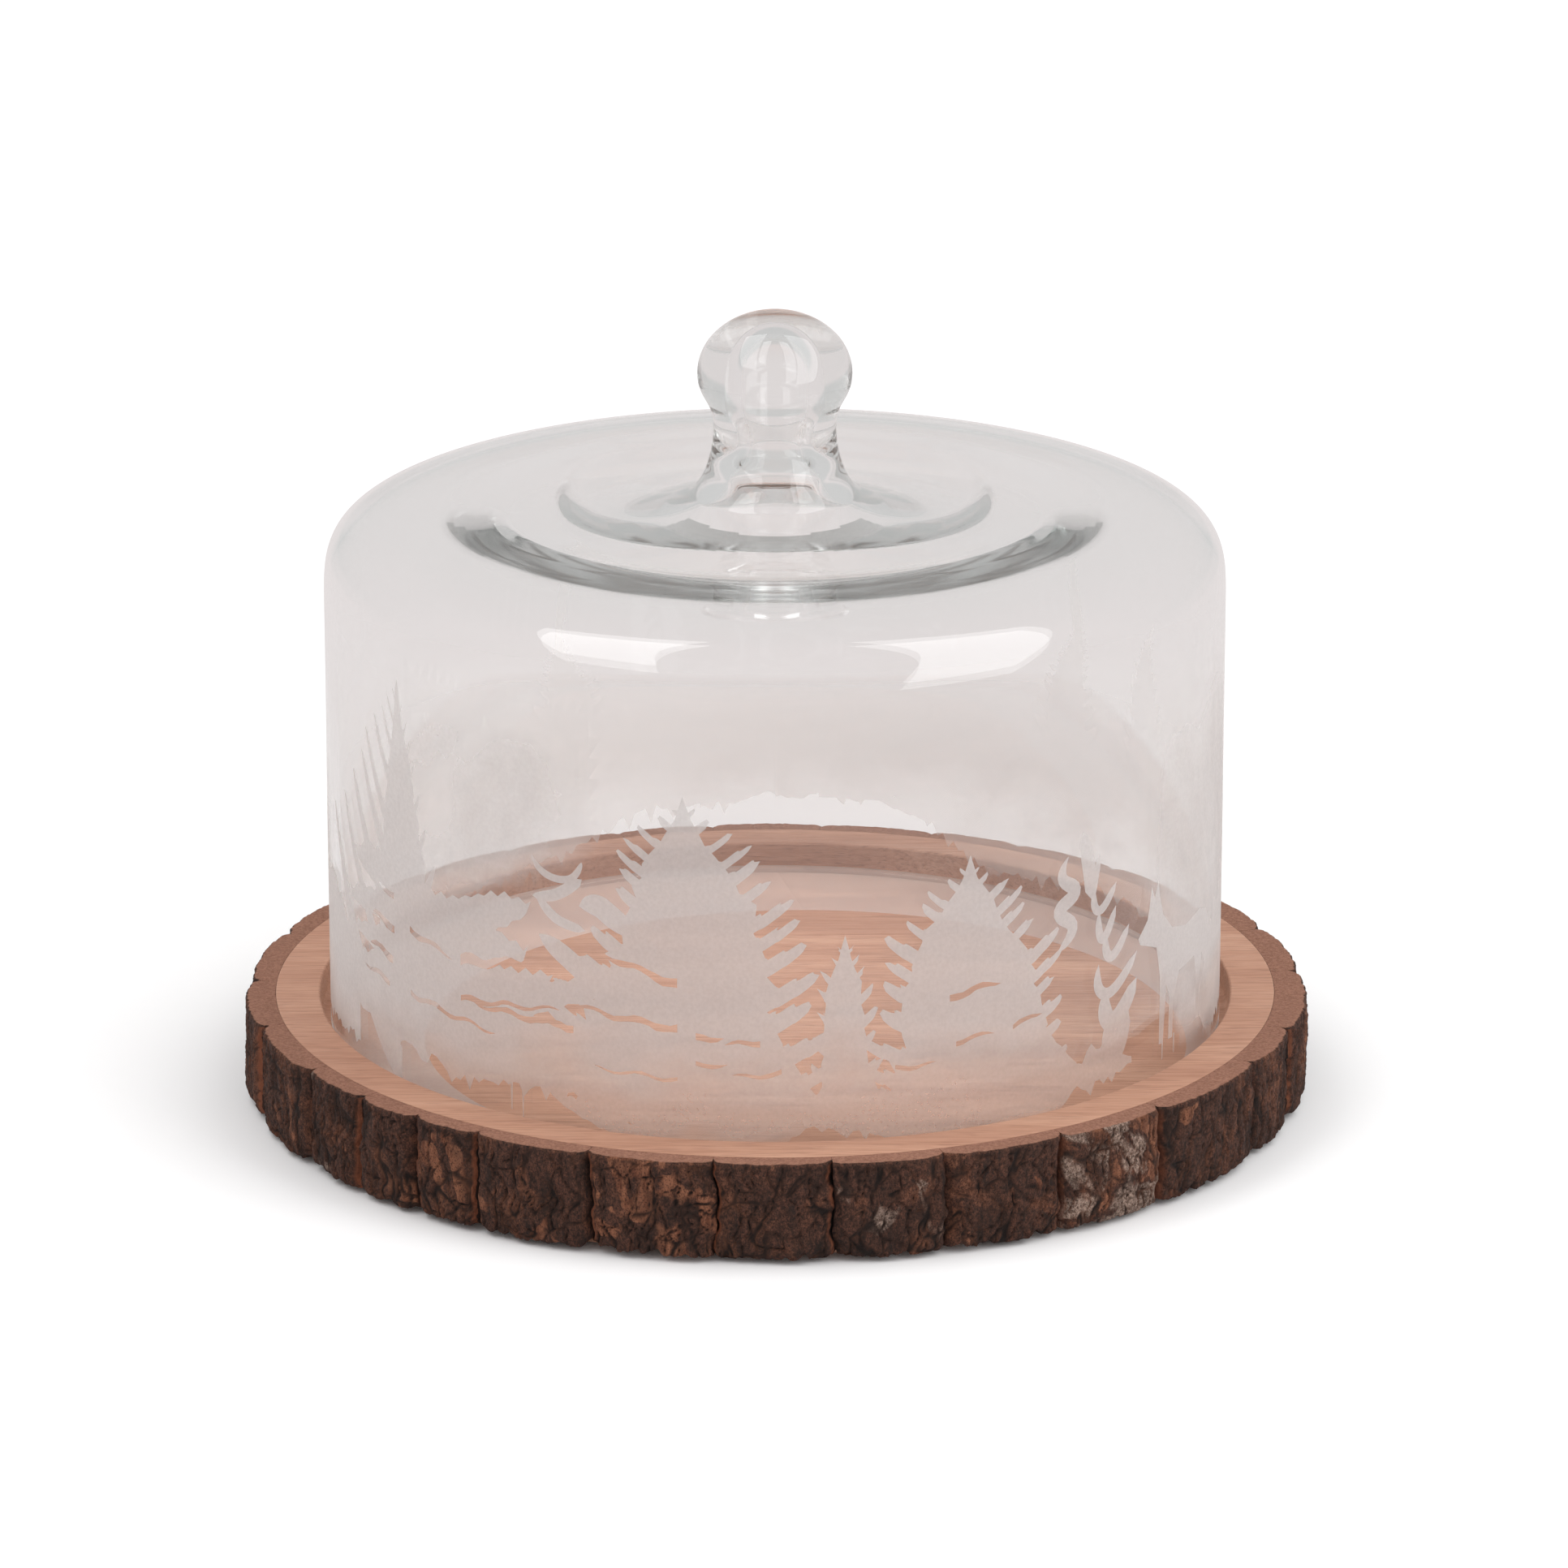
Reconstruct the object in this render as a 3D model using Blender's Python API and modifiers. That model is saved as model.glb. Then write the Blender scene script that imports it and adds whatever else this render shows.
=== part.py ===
"""Cheese dome: a blown-glass bell with a hollow knob, standing in the recess of a
round board that is glued up from planks and edged with plates of natural bark.

Metres, +Z up. The origin is the centre of the board on the surface it stands on,
and the front of the board faces -Y.
"""
import math
import random

import bmesh
import bpy
from mathutils import Vector
from mathutils.geometry import interpolate_bezier

# Driving dimensions
CLEARANCE = 0.0003            # air between neighbouring pieces

PAD_THICKNESS = 0.0015
PAD_RADIUS = 0.0095
PAD_TAPER = 0.0003
PAD_CIRCLE_RADIUS = 0.105
PAD_COUNT = 4

BOARD_TOP = 0.0300
BOARD_BOTTOM = PAD_THICKNESS
BOARD_RADIUS = 0.1465
RECESS_RADIUS = 0.1335
RECESS_DEPTH = 0.0085
RECESS_FLOOR = BOARD_TOP - RECESS_DEPTH
RECESS_FILLET = 0.0015
RIM_CHAMFER = 0.0006
PLANK_WIDTH = 0.068
FIRST_JOINT_Y = -0.092        # glue line nearest the front
PLANK_NAMES = ("plank_front", "plank_front_middle", "plank_middle", "plank_rear_middle", "plank_rear")

BARK_INNER_RADIUS = BOARD_RADIUS + CLEARANCE
BARK_THICKNESS = 0.0089       # at the two sides; the front and back are thinner
BARK_THIN_FRONT = 0.0022
BARK_SIDE_LEAN = 0.0004       # thicker on the +X side, thinner on the -X side
BARK_EDGE_ROUND = 0.0021      # how far a plate falls away at its two long edges
BARK_FOOT_ROUND = 0.0011      # how far it falls away at its lower edge
BARK_RAGGED_FOOT = 0.0022     # how far the sawn lower edge rises at most
BARK_BUMP = 0.0005
BARK_UNEVEN = 0.0004          # one plate may be this much thicker or thinner than the next
BARK_COLUMN_ANGLE = 2.6       # degrees of rim in one column of a plate's faces
BARK_ROWS = 3
# Joints between the plates in degrees round the rim, from the front towards +X
BARK_JOINTS = (-107.0, -91.0, -75.7, -60.4, -50.3, -42.0, -33.4, -19.9, -6.4, 6.5,
               18.4, 31.9, 45.6, 63.4, 75.0, 94.0, 108.6)
BACK_PLATE_COUNT = 11         # plates between the last joint and the first, round the back
BACK_JOINT_WANDER = 2.2       # degrees that a joint at the back may be out of its even place

BELL_RADIUS = 0.1304
BELL_FOOT = RECESS_FLOOR + CLEARANCE
BELL_CROWN = 0.1750           # highest ring of the bell's top
SHOULDER_WIDTH = 0.0480
SHOULDER_HEIGHT = 0.0285
SHOULDER_POWER = 4.3          # 2 is an ellipse, more is squarer
WALL = 0.0034                 # glass thickness of the bell's side
CROWN_WALL = 0.0058           # glass thickness of its top
FOOT_ROUND = 0.0012
VALLEY_RADIUS = 0.0600        # the shallow dip round the knob
VALLEY_DEPTH = 0.0028
COLLAR_TOP = 0.1820           # where the knob is fused to the bell
COLLAR_RADIUS = 0.0275
# Handles, as (radius, height), of the curves that join the collar, the valley, the crown and the bore
COLLAR_HANDLE = (0.0340, 0.1765)
VALLEY_INNER_REACH = 0.013
VALLEY_OUTER_REACH = 0.007
CROWN_REACH = 0.008
UNDER_VALLEY_RADIUS = 0.0300
FUNNEL_HANDLE = (0.0135, 0.1700)

KNOB_TOP = 0.2335
KNOB_NECK_RADIUS = 0.0177
KNOB_NECK_HEIGHT = 0.1995
KNOB_BULB_RADIUS = 0.0223
KNOB_BULB_HEIGHT = 0.2156
BORE_MOUTH_RADIUS = 0.0105
BORE_NECK_RADIUS = 0.0069
BORE_BULB_RADIUS = 0.0095
BORE_BULB_HEIGHT = 0.2140
BORE_TOP = 0.2237
# Heights and handles that shape the curves of the knob's side and of its bore
BULB_TO_NECK_HEIGHT = 0.2080
NECK_TO_FOOT_HEIGHT = 0.1920
KNOB_FOOT_HANDLE = (0.0205, 0.1845)
BORE_NECK_HEIGHT = 0.1960
MOUTH_HANDLE = (0.0078, 0.1865)
BORE_NECK_LOW_HANDLE = 0.1900
BORE_NECK_HIGH_HANDLE = 0.2040
BORE_BULB_HANDLE = 0.2070

LIFT_ORIGIN = Vector((0.0, 0.0, BELL_FOOT))

OVERSHOOT = 0.010             # how far the untrimmed planks stand out of the board

TURNED_STEPS_BELL = 72
TURNED_STEPS_KNOB = 32
TURNED_STEPS_BOARD = 96
MERGE = 0.00001

COLLECTION_NAME = "cheese_dome"
CUTTER_COLLECTION_NAME = "cheese_dome_cutters"


# Scene, collections and materials

def clear_scene():
    for item in list(bpy.data.objects):
        bpy.data.objects.remove(item, do_unlink=True)


def new_collection(name):
    collection = bpy.data.collections.new(name)
    bpy.context.scene.collection.children.link(collection)
    return collection


def new_material(name, colour, roughness, metallic=0.0, transmission=0.0):
    material = bpy.data.materials.new(name)
    material.use_nodes = True
    shader = material.node_tree.nodes["Principled BSDF"]
    shader.inputs["Base Color"].default_value = (*colour, 1.0)
    shader.inputs["Roughness"].default_value = roughness
    shader.inputs["Metallic"].default_value = metallic
    shader.inputs["Transmission Weight"].default_value = transmission
    return material


def add_object(name, mesh, collection, material=None, parent=None):
    item = bpy.data.objects.new(name, mesh)
    collection.objects.link(item)
    if material:
        mesh.materials.append(material)
    if parent:
        item.parent = parent
        item.matrix_parent_inverse = parent.matrix_world.inverted()
    return item


def add_empty(name, location, collection):
    empty = bpy.data.objects.new(name, None)
    empty.location = location
    collection.objects.link(empty)
    bpy.context.view_layer.update()
    return empty


def mesh_from(builder):
    """Run a function that fills a bmesh and return the finished mesh."""
    shape = bmesh.new()
    builder(shape)
    mesh = bpy.data.meshes.new("shape")
    shape.to_mesh(mesh)
    shape.free()
    return mesh


def shade_round(mesh, sharp_angle=35.0):
    mesh.shade_smooth()
    mesh.set_sharp_from_angle(angle=math.radians(sharp_angle))


# Outlines of turned shapes: lists of (radius, height)

def arc(centre, radius, start, end, steps):
    """Points on a circle, angles in degrees."""
    angles = [math.radians(start + (end - start) * step / steps) for step in range(steps + 1)]
    return [(centre[0] + radius * math.cos(a), centre[1] + radius * math.sin(a)) for a in angles]


def curve(start, start_handle, end_handle, end, steps):
    """Points on one Bezier stretch, without its first point."""
    knots = [Vector((r, z, 0.0)) for r, z in (start, start_handle, end_handle, end)]
    return [(point.x, point.y) for point in interpolate_bezier(*knots, steps + 1)[1:]]


def shoulder(radius, crown, width, height, steps):
    """The squarish shoulder from the crown ring out and down to the straight side."""
    points = []
    for step in range(steps + 1):
        angle = math.pi / 2 * (1 - step / steps)
        r = radius - width + width * math.cos(angle) ** (2 / SHOULDER_POWER)
        z = crown - height + height * math.sin(angle) ** (2 / SHOULDER_POWER)
        points.append((r, z))
    return points


def bell_outline():
    """Closed outline of the bell: down its outside, round the foot and up its inside."""
    crown_ring = BELL_RADIUS - SHOULDER_WIDTH
    valley = (VALLEY_RADIUS, BELL_CROWN - VALLEY_DEPTH)
    collar = (COLLAR_RADIUS, COLLAR_TOP - CLEARANCE)
    ring = (crown_ring, BELL_CROWN)
    points = [(BORE_MOUTH_RADIUS, collar[1]), collar]
    points += curve(collar, COLLAR_HANDLE, (VALLEY_RADIUS - VALLEY_INNER_REACH, valley[1]), valley, 4)
    points += curve(valley, (VALLEY_RADIUS + VALLEY_OUTER_REACH, valley[1]),
                    (crown_ring - CROWN_REACH, BELL_CROWN), ring, 2)
    points += shoulder(BELL_RADIUS, BELL_CROWN, SHOULDER_WIDTH, SHOULDER_HEIGHT, 8)[1:]
    foot_centre = BELL_RADIUS - FOOT_ROUND
    points += arc((foot_centre, BELL_FOOT + FOOT_ROUND), FOOT_ROUND, 0, -90, 2)
    foot_centre = BELL_RADIUS - WALL + FOOT_ROUND
    points += arc((foot_centre, BELL_FOOT + FOOT_ROUND), FOOT_ROUND, -90, -180, 2)
    inside = shoulder(BELL_RADIUS - WALL, BELL_CROWN - CROWN_WALL, SHOULDER_WIDTH - WALL,
                      SHOULDER_HEIGHT - WALL, 8)
    points += inside[::-1]
    under_valley = (VALLEY_RADIUS, valley[1] - CROWN_WALL)
    mouth = (BORE_MOUTH_RADIUS, collar[1])
    points += [under_valley]
    points += curve(under_valley, (UNDER_VALLEY_RADIUS, under_valley[1]), FUNNEL_HANDLE, mouth, 5)[:-1]
    return points


def knob_outline():
    """Closed outline of the hollow knob: down its outside and up its bore."""
    neck = (KNOB_NECK_RADIUS, KNOB_NECK_HEIGHT)
    bulb = (KNOB_BULB_RADIUS, KNOB_BULB_HEIGHT)
    foot = (COLLAR_RADIUS, COLLAR_TOP)
    top_steps = 8
    rise = KNOB_TOP - KNOB_BULB_HEIGHT
    points = []
    for step in range(top_steps + 1):
        angle = math.pi / 2 * (1 - step / top_steps)
        points.append((KNOB_BULB_RADIUS * math.cos(angle), KNOB_BULB_HEIGHT + rise * math.sin(angle)))
    points[0] = (0.0, KNOB_TOP)
    points += curve(bulb, (KNOB_BULB_RADIUS, BULB_TO_NECK_HEIGHT),
                    (KNOB_NECK_RADIUS, BULB_TO_NECK_HEIGHT), neck, 5)
    points += curve(neck, (KNOB_NECK_RADIUS, NECK_TO_FOOT_HEIGHT), KNOB_FOOT_HANDLE, foot, 5)
    mouth = (BORE_MOUTH_RADIUS, COLLAR_TOP)
    bore_neck = (BORE_NECK_RADIUS, BORE_NECK_HEIGHT)
    bore_bulb = (BORE_BULB_RADIUS, BORE_BULB_HEIGHT)
    points.append(mouth)
    points += curve(mouth, MOUTH_HANDLE, (BORE_NECK_RADIUS, BORE_NECK_LOW_HANDLE), bore_neck, 3)
    points += curve(bore_neck, (BORE_NECK_RADIUS, BORE_NECK_HIGH_HANDLE),
                    (BORE_BULB_RADIUS, BORE_BULB_HANDLE), bore_bulb, 3)
    bore_rise = BORE_TOP - BORE_BULB_HEIGHT
    for angle in (30.0, 60.0):
        turn = math.radians(angle)
        points.append((BORE_BULB_RADIUS * math.cos(turn), BORE_BULB_HEIGHT + bore_rise * math.sin(turn)))
    points.append((0.0, BORE_TOP))
    return points


def board_outline():
    """Outline of the whole board with its recess, from the axis out, down and back."""
    points = [(0.0, RECESS_FLOOR)]
    fillet_centre = (RECESS_RADIUS - RECESS_FILLET, RECESS_FLOOR + RECESS_FILLET)
    points += arc(fillet_centre, RECESS_FILLET, -90, 0, 3)
    points.append((RECESS_RADIUS, BOARD_TOP - RIM_CHAMFER))
    points.append((RECESS_RADIUS + RIM_CHAMFER, BOARD_TOP))
    points.append((BOARD_RADIUS, BOARD_TOP))
    points.append((BOARD_RADIUS, BOARD_BOTTOM + RIM_CHAMFER))
    points.append((BOARD_RADIUS - RIM_CHAMFER, BOARD_BOTTOM))
    points.append((0.0, BOARD_BOTTOM))
    return points


def turned(name, outline, closed, steps, collection, material=None, parent=None):
    """A round object made by turning an outline about Z."""
    mesh = bpy.data.meshes.new(name)
    edges = [(index, index + 1) for index in range(len(outline) - 1)]
    if closed:
        edges.append((len(outline) - 1, 0))
    mesh.from_pydata([(r, 0.0, z) for r, z in outline], edges, [])
    item = add_object(name, mesh, collection, material)
    if parent:
        mesh.transform(parent.matrix_world.inverted())
        item.parent = parent
    screw = item.modifiers.new("Turn", "SCREW")
    screw.axis = "Z"
    screw.steps = steps
    screw.render_steps = steps
    screw.use_merge_vertices = True
    screw.merge_threshold = MERGE
    screw.use_smooth_shade = True
    return item


# Glass

def make_glass(collection, lift):
    glass = new_material("clear_glass", (0.93, 0.95, 0.94), 0.03, transmission=1.0)
    turned("glass_bell", bell_outline(), True, TURNED_STEPS_BELL, collection, glass, lift)
    turned("glass_knob", knob_outline(), False, TURNED_STEPS_KNOB, collection, glass, lift)


# Board

def slab(name, low_y, high_y, collection, material):
    """A box as deep as the board and wider than it, between two glue lines."""
    low_z = BOARD_BOTTOM - OVERSHOOT
    high_z = BOARD_TOP + OVERSHOOT

    def build(shape):
        bmesh.ops.create_cube(shape, size=1.0)
        size = Vector((2 * (BOARD_RADIUS + OVERSHOOT), high_y - low_y, high_z - low_z))
        centre = Vector((0.0, (low_y + high_y) / 2, (low_z + high_z) / 2))
        bmesh.ops.scale(shape, vec=size, verts=shape.verts)
        bmesh.ops.translate(shape, vec=centre, verts=shape.verts)

    return add_object(name, mesh_from(build), collection, material)


def make_planks(collection, cutters):
    """Five edge-glued planks, each a slab trimmed to the turned board's shape."""
    board = turned("board_shape", board_outline(), False, TURNED_STEPS_BOARD, cutters)
    board.hide_render = True
    board.display_type = "WIRE"
    outside = BOARD_RADIUS + OVERSHOOT
    joints = [FIRST_JOINT_Y + PLANK_WIDTH * index for index in range(len(PLANK_NAMES) - 1)]
    edges = [-outside, *joints, outside]
    for index, name in enumerate(PLANK_NAMES):
        shade = 1.0 - 0.05 * (index % 3)
        colour = (0.56 * shade, 0.30 * shade, 0.18 * shade)
        material = new_material(name + "_wood", colour, 0.55)
        low_y = edges[index] + CLEARANCE / 2
        high_y = edges[index + 1] - CLEARANCE / 2
        plank = slab(name, low_y, high_y, collection, material)
        trim = plank.modifiers.new("Trim", "BOOLEAN")
        trim.operation = "INTERSECT"
        trim.object = board


def make_pads(collection):
    """Low round pads under the board."""
    rubber = new_material("pad_rubber", (0.03, 0.03, 0.03), 0.8)

    def build(shape):
        bmesh.ops.create_cone(shape, cap_ends=True, segments=24, radius1=PAD_RADIUS,
                              radius2=PAD_RADIUS - PAD_TAPER, depth=PAD_THICKNESS - CLEARANCE)

    for index in range(PAD_COUNT):
        angle = math.radians(45 + 360 * index / PAD_COUNT)
        mesh = mesh_from(build)
        shade_round(mesh)
        pad = add_object("pad_%d" % (index + 1), mesh, collection, rubber)
        pad.location = (PAD_CIRCLE_RADIUS * math.cos(angle), PAD_CIRCLE_RADIUS * math.sin(angle),
                        (PAD_THICKNESS - CLEARANCE) / 2)


# Bark

def rim_joints(rng):
    """All joints between bark plates, in degrees, going once round the rim."""
    last = BARK_JOINTS[-1]
    step = (BARK_JOINTS[0] + 360 - last) / BACK_PLATE_COUNT
    back = []
    for index in range(1, BACK_PLATE_COUNT):
        back.append(last + step * index + rng.uniform(-BACK_JOINT_WANDER, BACK_JOINT_WANDER))
    return [*BARK_JOINTS, *back, BARK_JOINTS[0] + 360]


def bark_outer_radius(angle):
    """Radius of the bark's face at an angle in degrees from the front."""
    turn = math.radians(angle)
    thinning = BARK_THIN_FRONT * math.cos(turn) ** 2
    lean = BARK_SIDE_LEAN * math.sin(turn)
    return BARK_INNER_RADIUS + BARK_THICKNESS - thinning + lean


def rim_point(angle, radius, height):
    turn = math.radians(angle)
    return Vector((radius * math.sin(turn), -radius * math.cos(turn), height))


def bark_mesh(start, end, rng):
    """One plate of bark between two angles: a flat inner face bent to the board's rim,
    a bumpy outer face that falls away at the edges, and a ragged lower edge."""
    gap = math.degrees(CLEARANCE / 2 / BARK_INNER_RADIUS)
    low = start + gap
    high = end - gap
    columns = max(4, round((high - low) / BARK_COLUMN_ANGLE))
    thick = rng.uniform(-BARK_UNEVEN, BARK_UNEVEN)
    foot_height = [BOARD_BOTTOM + BARK_RAGGED_FOOT * rng.random() ** 2 for _ in range(columns + 1)]

    def build(shape):
        bmesh.ops.create_grid(shape, x_segments=columns, y_segments=BARK_ROWS, size=0.5)
        outer = list(shape.verts)
        pulled = bmesh.ops.extrude_face_region(shape, geom=list(shape.faces))
        inner = [item for item in pulled["geom"] if isinstance(item, bmesh.types.BMVert)]
        for layer, verts in (("outer", outer), ("inner", inner)):
            for vert in verts:
                across = vert.co.x + 0.5
                up = vert.co.y + 0.5
                angle = low + (high - low) * across
                foot = foot_height[round(across * columns)]
                height = foot + (BOARD_TOP - foot) * up
                radius = BARK_INNER_RADIUS
                if layer == "outer":
                    radius = bark_outer_radius(angle) + thick + rng.uniform(-BARK_BUMP, BARK_BUMP)
                    radius -= BARK_EDGE_ROUND * abs(2 * across - 1) ** 4
                    radius -= BARK_FOOT_ROUND * (1 - up) ** 3
                vert.co = rim_point(angle, radius, height)
        if shape.calc_volume(signed=True) < 0:
            bmesh.ops.reverse_faces(shape, faces=list(shape.faces))

    return mesh_from(build)


def make_bark(collection):
    """A ring of bark plates glued round the board's edge, each its own piece."""
    rng = random.Random(11)
    joints = rim_joints(rng)
    for index, (start, end) in enumerate(zip(joints, joints[1:])):
        shade = rng.uniform(0.75, 1.25)
        name = "bark_plate_%02d" % (index + 1)
        material = new_material(name + "_bark", (0.12 * shade, 0.065 * shade, 0.045 * shade), 0.9)
        mesh = bark_mesh(start, end, rng)
        shade_round(mesh, 40.0)
        add_object(name, mesh, collection, material)


def main():
    clear_scene()
    collection = new_collection(COLLECTION_NAME)
    cutters = new_collection(CUTTER_COLLECTION_NAME)
    lift = add_empty("dome_lift", LIFT_ORIGIN, collection)
    make_planks(collection, cutters)
    make_bark(collection)
    make_pads(collection)
    make_glass(collection, lift)


main()
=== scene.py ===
"""Looks of the cheese dome: a frosted blown-glass bell on a bark-edged board of glued planks."""
import math
import random

import bmesh
import bpy
import numpy as np
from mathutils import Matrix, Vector, noise
from mathutils.geometry import delaunay_2d_cdt, interpolate_bezier


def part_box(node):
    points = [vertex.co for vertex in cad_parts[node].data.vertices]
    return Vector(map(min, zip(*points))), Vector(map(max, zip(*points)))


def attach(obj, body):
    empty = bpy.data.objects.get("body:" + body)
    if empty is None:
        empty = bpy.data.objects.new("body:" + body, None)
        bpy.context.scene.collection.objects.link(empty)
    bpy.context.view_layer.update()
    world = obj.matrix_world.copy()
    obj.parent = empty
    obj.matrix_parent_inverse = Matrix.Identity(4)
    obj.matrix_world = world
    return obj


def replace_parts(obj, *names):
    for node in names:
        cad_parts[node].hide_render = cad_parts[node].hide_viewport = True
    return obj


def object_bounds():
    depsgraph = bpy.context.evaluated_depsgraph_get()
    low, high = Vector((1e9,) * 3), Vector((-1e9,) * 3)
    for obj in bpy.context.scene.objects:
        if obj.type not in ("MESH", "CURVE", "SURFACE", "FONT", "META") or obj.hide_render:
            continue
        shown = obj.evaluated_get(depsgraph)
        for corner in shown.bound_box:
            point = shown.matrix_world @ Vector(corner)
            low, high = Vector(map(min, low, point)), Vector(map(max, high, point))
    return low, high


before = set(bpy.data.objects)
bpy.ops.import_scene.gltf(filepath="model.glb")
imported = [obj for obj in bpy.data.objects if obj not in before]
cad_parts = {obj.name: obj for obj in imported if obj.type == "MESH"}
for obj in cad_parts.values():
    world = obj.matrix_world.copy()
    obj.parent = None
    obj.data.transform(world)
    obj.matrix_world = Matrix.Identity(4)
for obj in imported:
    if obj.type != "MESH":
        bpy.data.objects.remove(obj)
CAD_LOW, CAD_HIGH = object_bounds()

NOISE_SEED = 7  # noise_vector draws its offsets from this seed
noise.seed_set(NOISE_SEED)

# Sizes read from the frame
BELL_LOW, BELL_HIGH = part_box("glass_bell")
PLANK_LOW, PLANK_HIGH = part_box("plank_middle")
BELL_RADIUS = BELL_HIGH[0]
BELL_FOOT = BELL_LOW[2]
KNOB_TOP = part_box("glass_knob")[1][2]
BOARD_TOP = PLANK_HIGH[2]
BOARD_BOTTOM = PLANK_LOW[2]
BOARD_RADIUS = PLANK_HIGH[0]
PLANKS = ("plank_front", "plank_front_middle", "plank_middle", "plank_rear_middle", "plank_rear")
BARK_PLATES = sorted(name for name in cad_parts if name.startswith("bark_plate"))
PADS = sorted(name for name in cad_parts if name.startswith("pad_"))

MM = 0.001


# Small helpers

def lerp(first, last, share):
    return first + (last - first) * share


def clamp(value):
    return min(1.0, max(0.0, value))


def smoothstep(low, high, value):
    share = clamp((value - low) / (high - low))
    return share * share * (3 - 2 * share)


def bezier(start, start_handle, end_handle, end, steps):
    """Points on one Bezier stretch of an outline, without its first point."""
    knots = [Vector((r, z, 0.0)) for r, z in (start, start_handle, end_handle, end)]
    return [(point.x, point.y) for point in interpolate_bezier(*knots, steps + 1)[1:]]


def arc(centre, radii, start, end, steps):
    """Points on part of an ellipse, from one angle in degrees to another."""
    points = []
    for step in range(steps + 1):
        angle = math.radians(lerp(start, end, step / steps))
        points.append((centre[0] + radii[0] * math.cos(angle), centre[1] + radii[1] * math.sin(angle)))
    return points


def between(pairs):
    """An outline from the pairs of points, upper and lower, along its length."""
    return [upper for upper, _ in pairs] + [lower for _, lower in reversed(pairs)]


def finished_mesh(name, shape, closed=True):
    """A smooth mesh of a bmesh; the faces of a closed one are turned outwards."""
    if closed:
        bmesh.ops.recalc_face_normals(shape, faces=list(shape.faces))
        if shape.calc_volume(signed=True) < 0:
            bmesh.ops.reverse_faces(shape, faces=list(shape.faces))
    mesh = bpy.data.meshes.new(name)
    shape.to_mesh(mesh)
    shape.free()
    mesh.shade_smooth()
    return mesh


def new_object(name, mesh, body):
    item = bpy.data.objects.new(name, mesh)
    bpy.context.collection.objects.link(item)
    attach(item, body)
    return item


def rgba(colour):
    """An opaque colour; a single number is a grey."""
    return (*colour, 1.0) if isinstance(colour, tuple) else (colour, colour, colour, 1.0)


class Nodes:
    """A short way to write the node tree of a material or a world."""

    def __init__(self, owner, output="OutputMaterial"):
        owner.use_nodes = True
        self.owner = owner
        self.tree = owner.node_tree
        self.tree.nodes.clear()
        self.output = self.add(output)

    def feed(self, socket, value):
        """Link a socket to a node or another socket, or set its value."""
        if isinstance(value, bpy.types.Node):
            value = value.outputs[0]
        if isinstance(value, bpy.types.NodeSocket):
            self.tree.links.new(value, socket)
        else:
            socket.default_value = rgba(value) if socket.type == "RGBA" else value

    def add(self, kind, inputs=None, **settings):
        node = self.tree.nodes.new("ShaderNode" + kind)
        for key, value in settings.items():
            setattr(node, key, value)
        for key, value in (inputs or {}).items():
            self.feed(node.inputs[key], value)
        return node

    def ramp(self, value, stops):
        node = self.add("ValToRGB", {"Fac": value})
        elements = node.color_ramp.elements
        while len(elements) < len(stops):
            elements.new(0.5)
        for element, (place, colour) in zip(elements, stops):
            element.position = place
            element.color = rgba(colour)
        return node.outputs["Color"]

    def mix(self, share, first, second, blend="MIX"):
        node = self.add("Mix", {0: share, 6: first, 7: second}, data_type="RGBA", blend_type=blend)
        return node.outputs[2]

    def lay(self, value, stops, under, over):
        """One colour over another, as strongly as a ramp of the value says."""
        return self.mix(self.ramp(value, stops), under, over)

    def mix_shader(self, share, first, second):
        return self.add("MixShader", {0: share, 1: first, 2: second})

    def math(self, operation, first, second=0.0, clamped=False):
        return self.add("Math", {0: first, 1: second}, operation=operation, use_clamp=clamped)

    def place(self, scale=(1, 1, 1), offset=(0, 0, 0)):
        """Object coordinates, stretched and shifted."""
        coordinates = self.add("TexCoord").outputs["Object"]
        return self.add("Mapping", {"Vector": coordinates, "Scale": scale, "Location": offset})

    def axis(self, vector, name):
        return self.add("SeparateXYZ", {"Vector": vector}).outputs[name]

    def span(self, value, low, high, **settings):
        """How far a value is on its way from low to high."""
        return self.add("MapRange", {"Value": value, "From Min": low, "From Max": high}, **settings)

    def noise(self, vector, scale, detail=4.0, roughness=0.5, distortion=0.0):
        return self.add("TexNoise", {"Vector": vector, "Scale": scale, "Detail": detail,
                                     "Roughness": roughness, "Distortion": distortion}).outputs["Fac"]

    def bump(self, height, distance):
        return self.add("Bump", {"Height": height, "Distance": distance, "Strength": 1.0})

    def finish(self, shader):
        self.feed(self.output.inputs["Surface"], shader)
        return self.owner


# Glass bell and knob; a place on an outline is (radius, height)

GLASS_STEPS = 256  # outlines round the glass
WALL_STEP = 0.0030  # the longest straight stretch of an outline
WALL = 0.0034
FOOT_ROUND = 0.0012
CROWN = 0.1750  # height of the crown
SHOULDER_WIDTH = 0.0480
SHOULDER_HEIGHT = 0.0285
SHOULDER_POWER = 4.3  # 2 is a quarter of an ellipse, more is squarer
SHOULDER_STEPS = 40
CROWN_RING = (BELL_RADIUS - SHOULDER_WIDTH, CROWN)
VALLEY = (0.0600, CROWN - 0.0028)
COLLAR = (0.0250, 0.1800)  # the knob's root on the crown
KNOB_NECK = (0.0177, 0.1995)
KNOB_BULB = (0.0223, 0.2156)
BORE_MOUTH = (0.0130, 0.1840)
BORE_NECK = (0.0069, 0.1960)
BORE_BULB = (0.0095, 0.2140)
BORE_TOP = 0.2237
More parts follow.
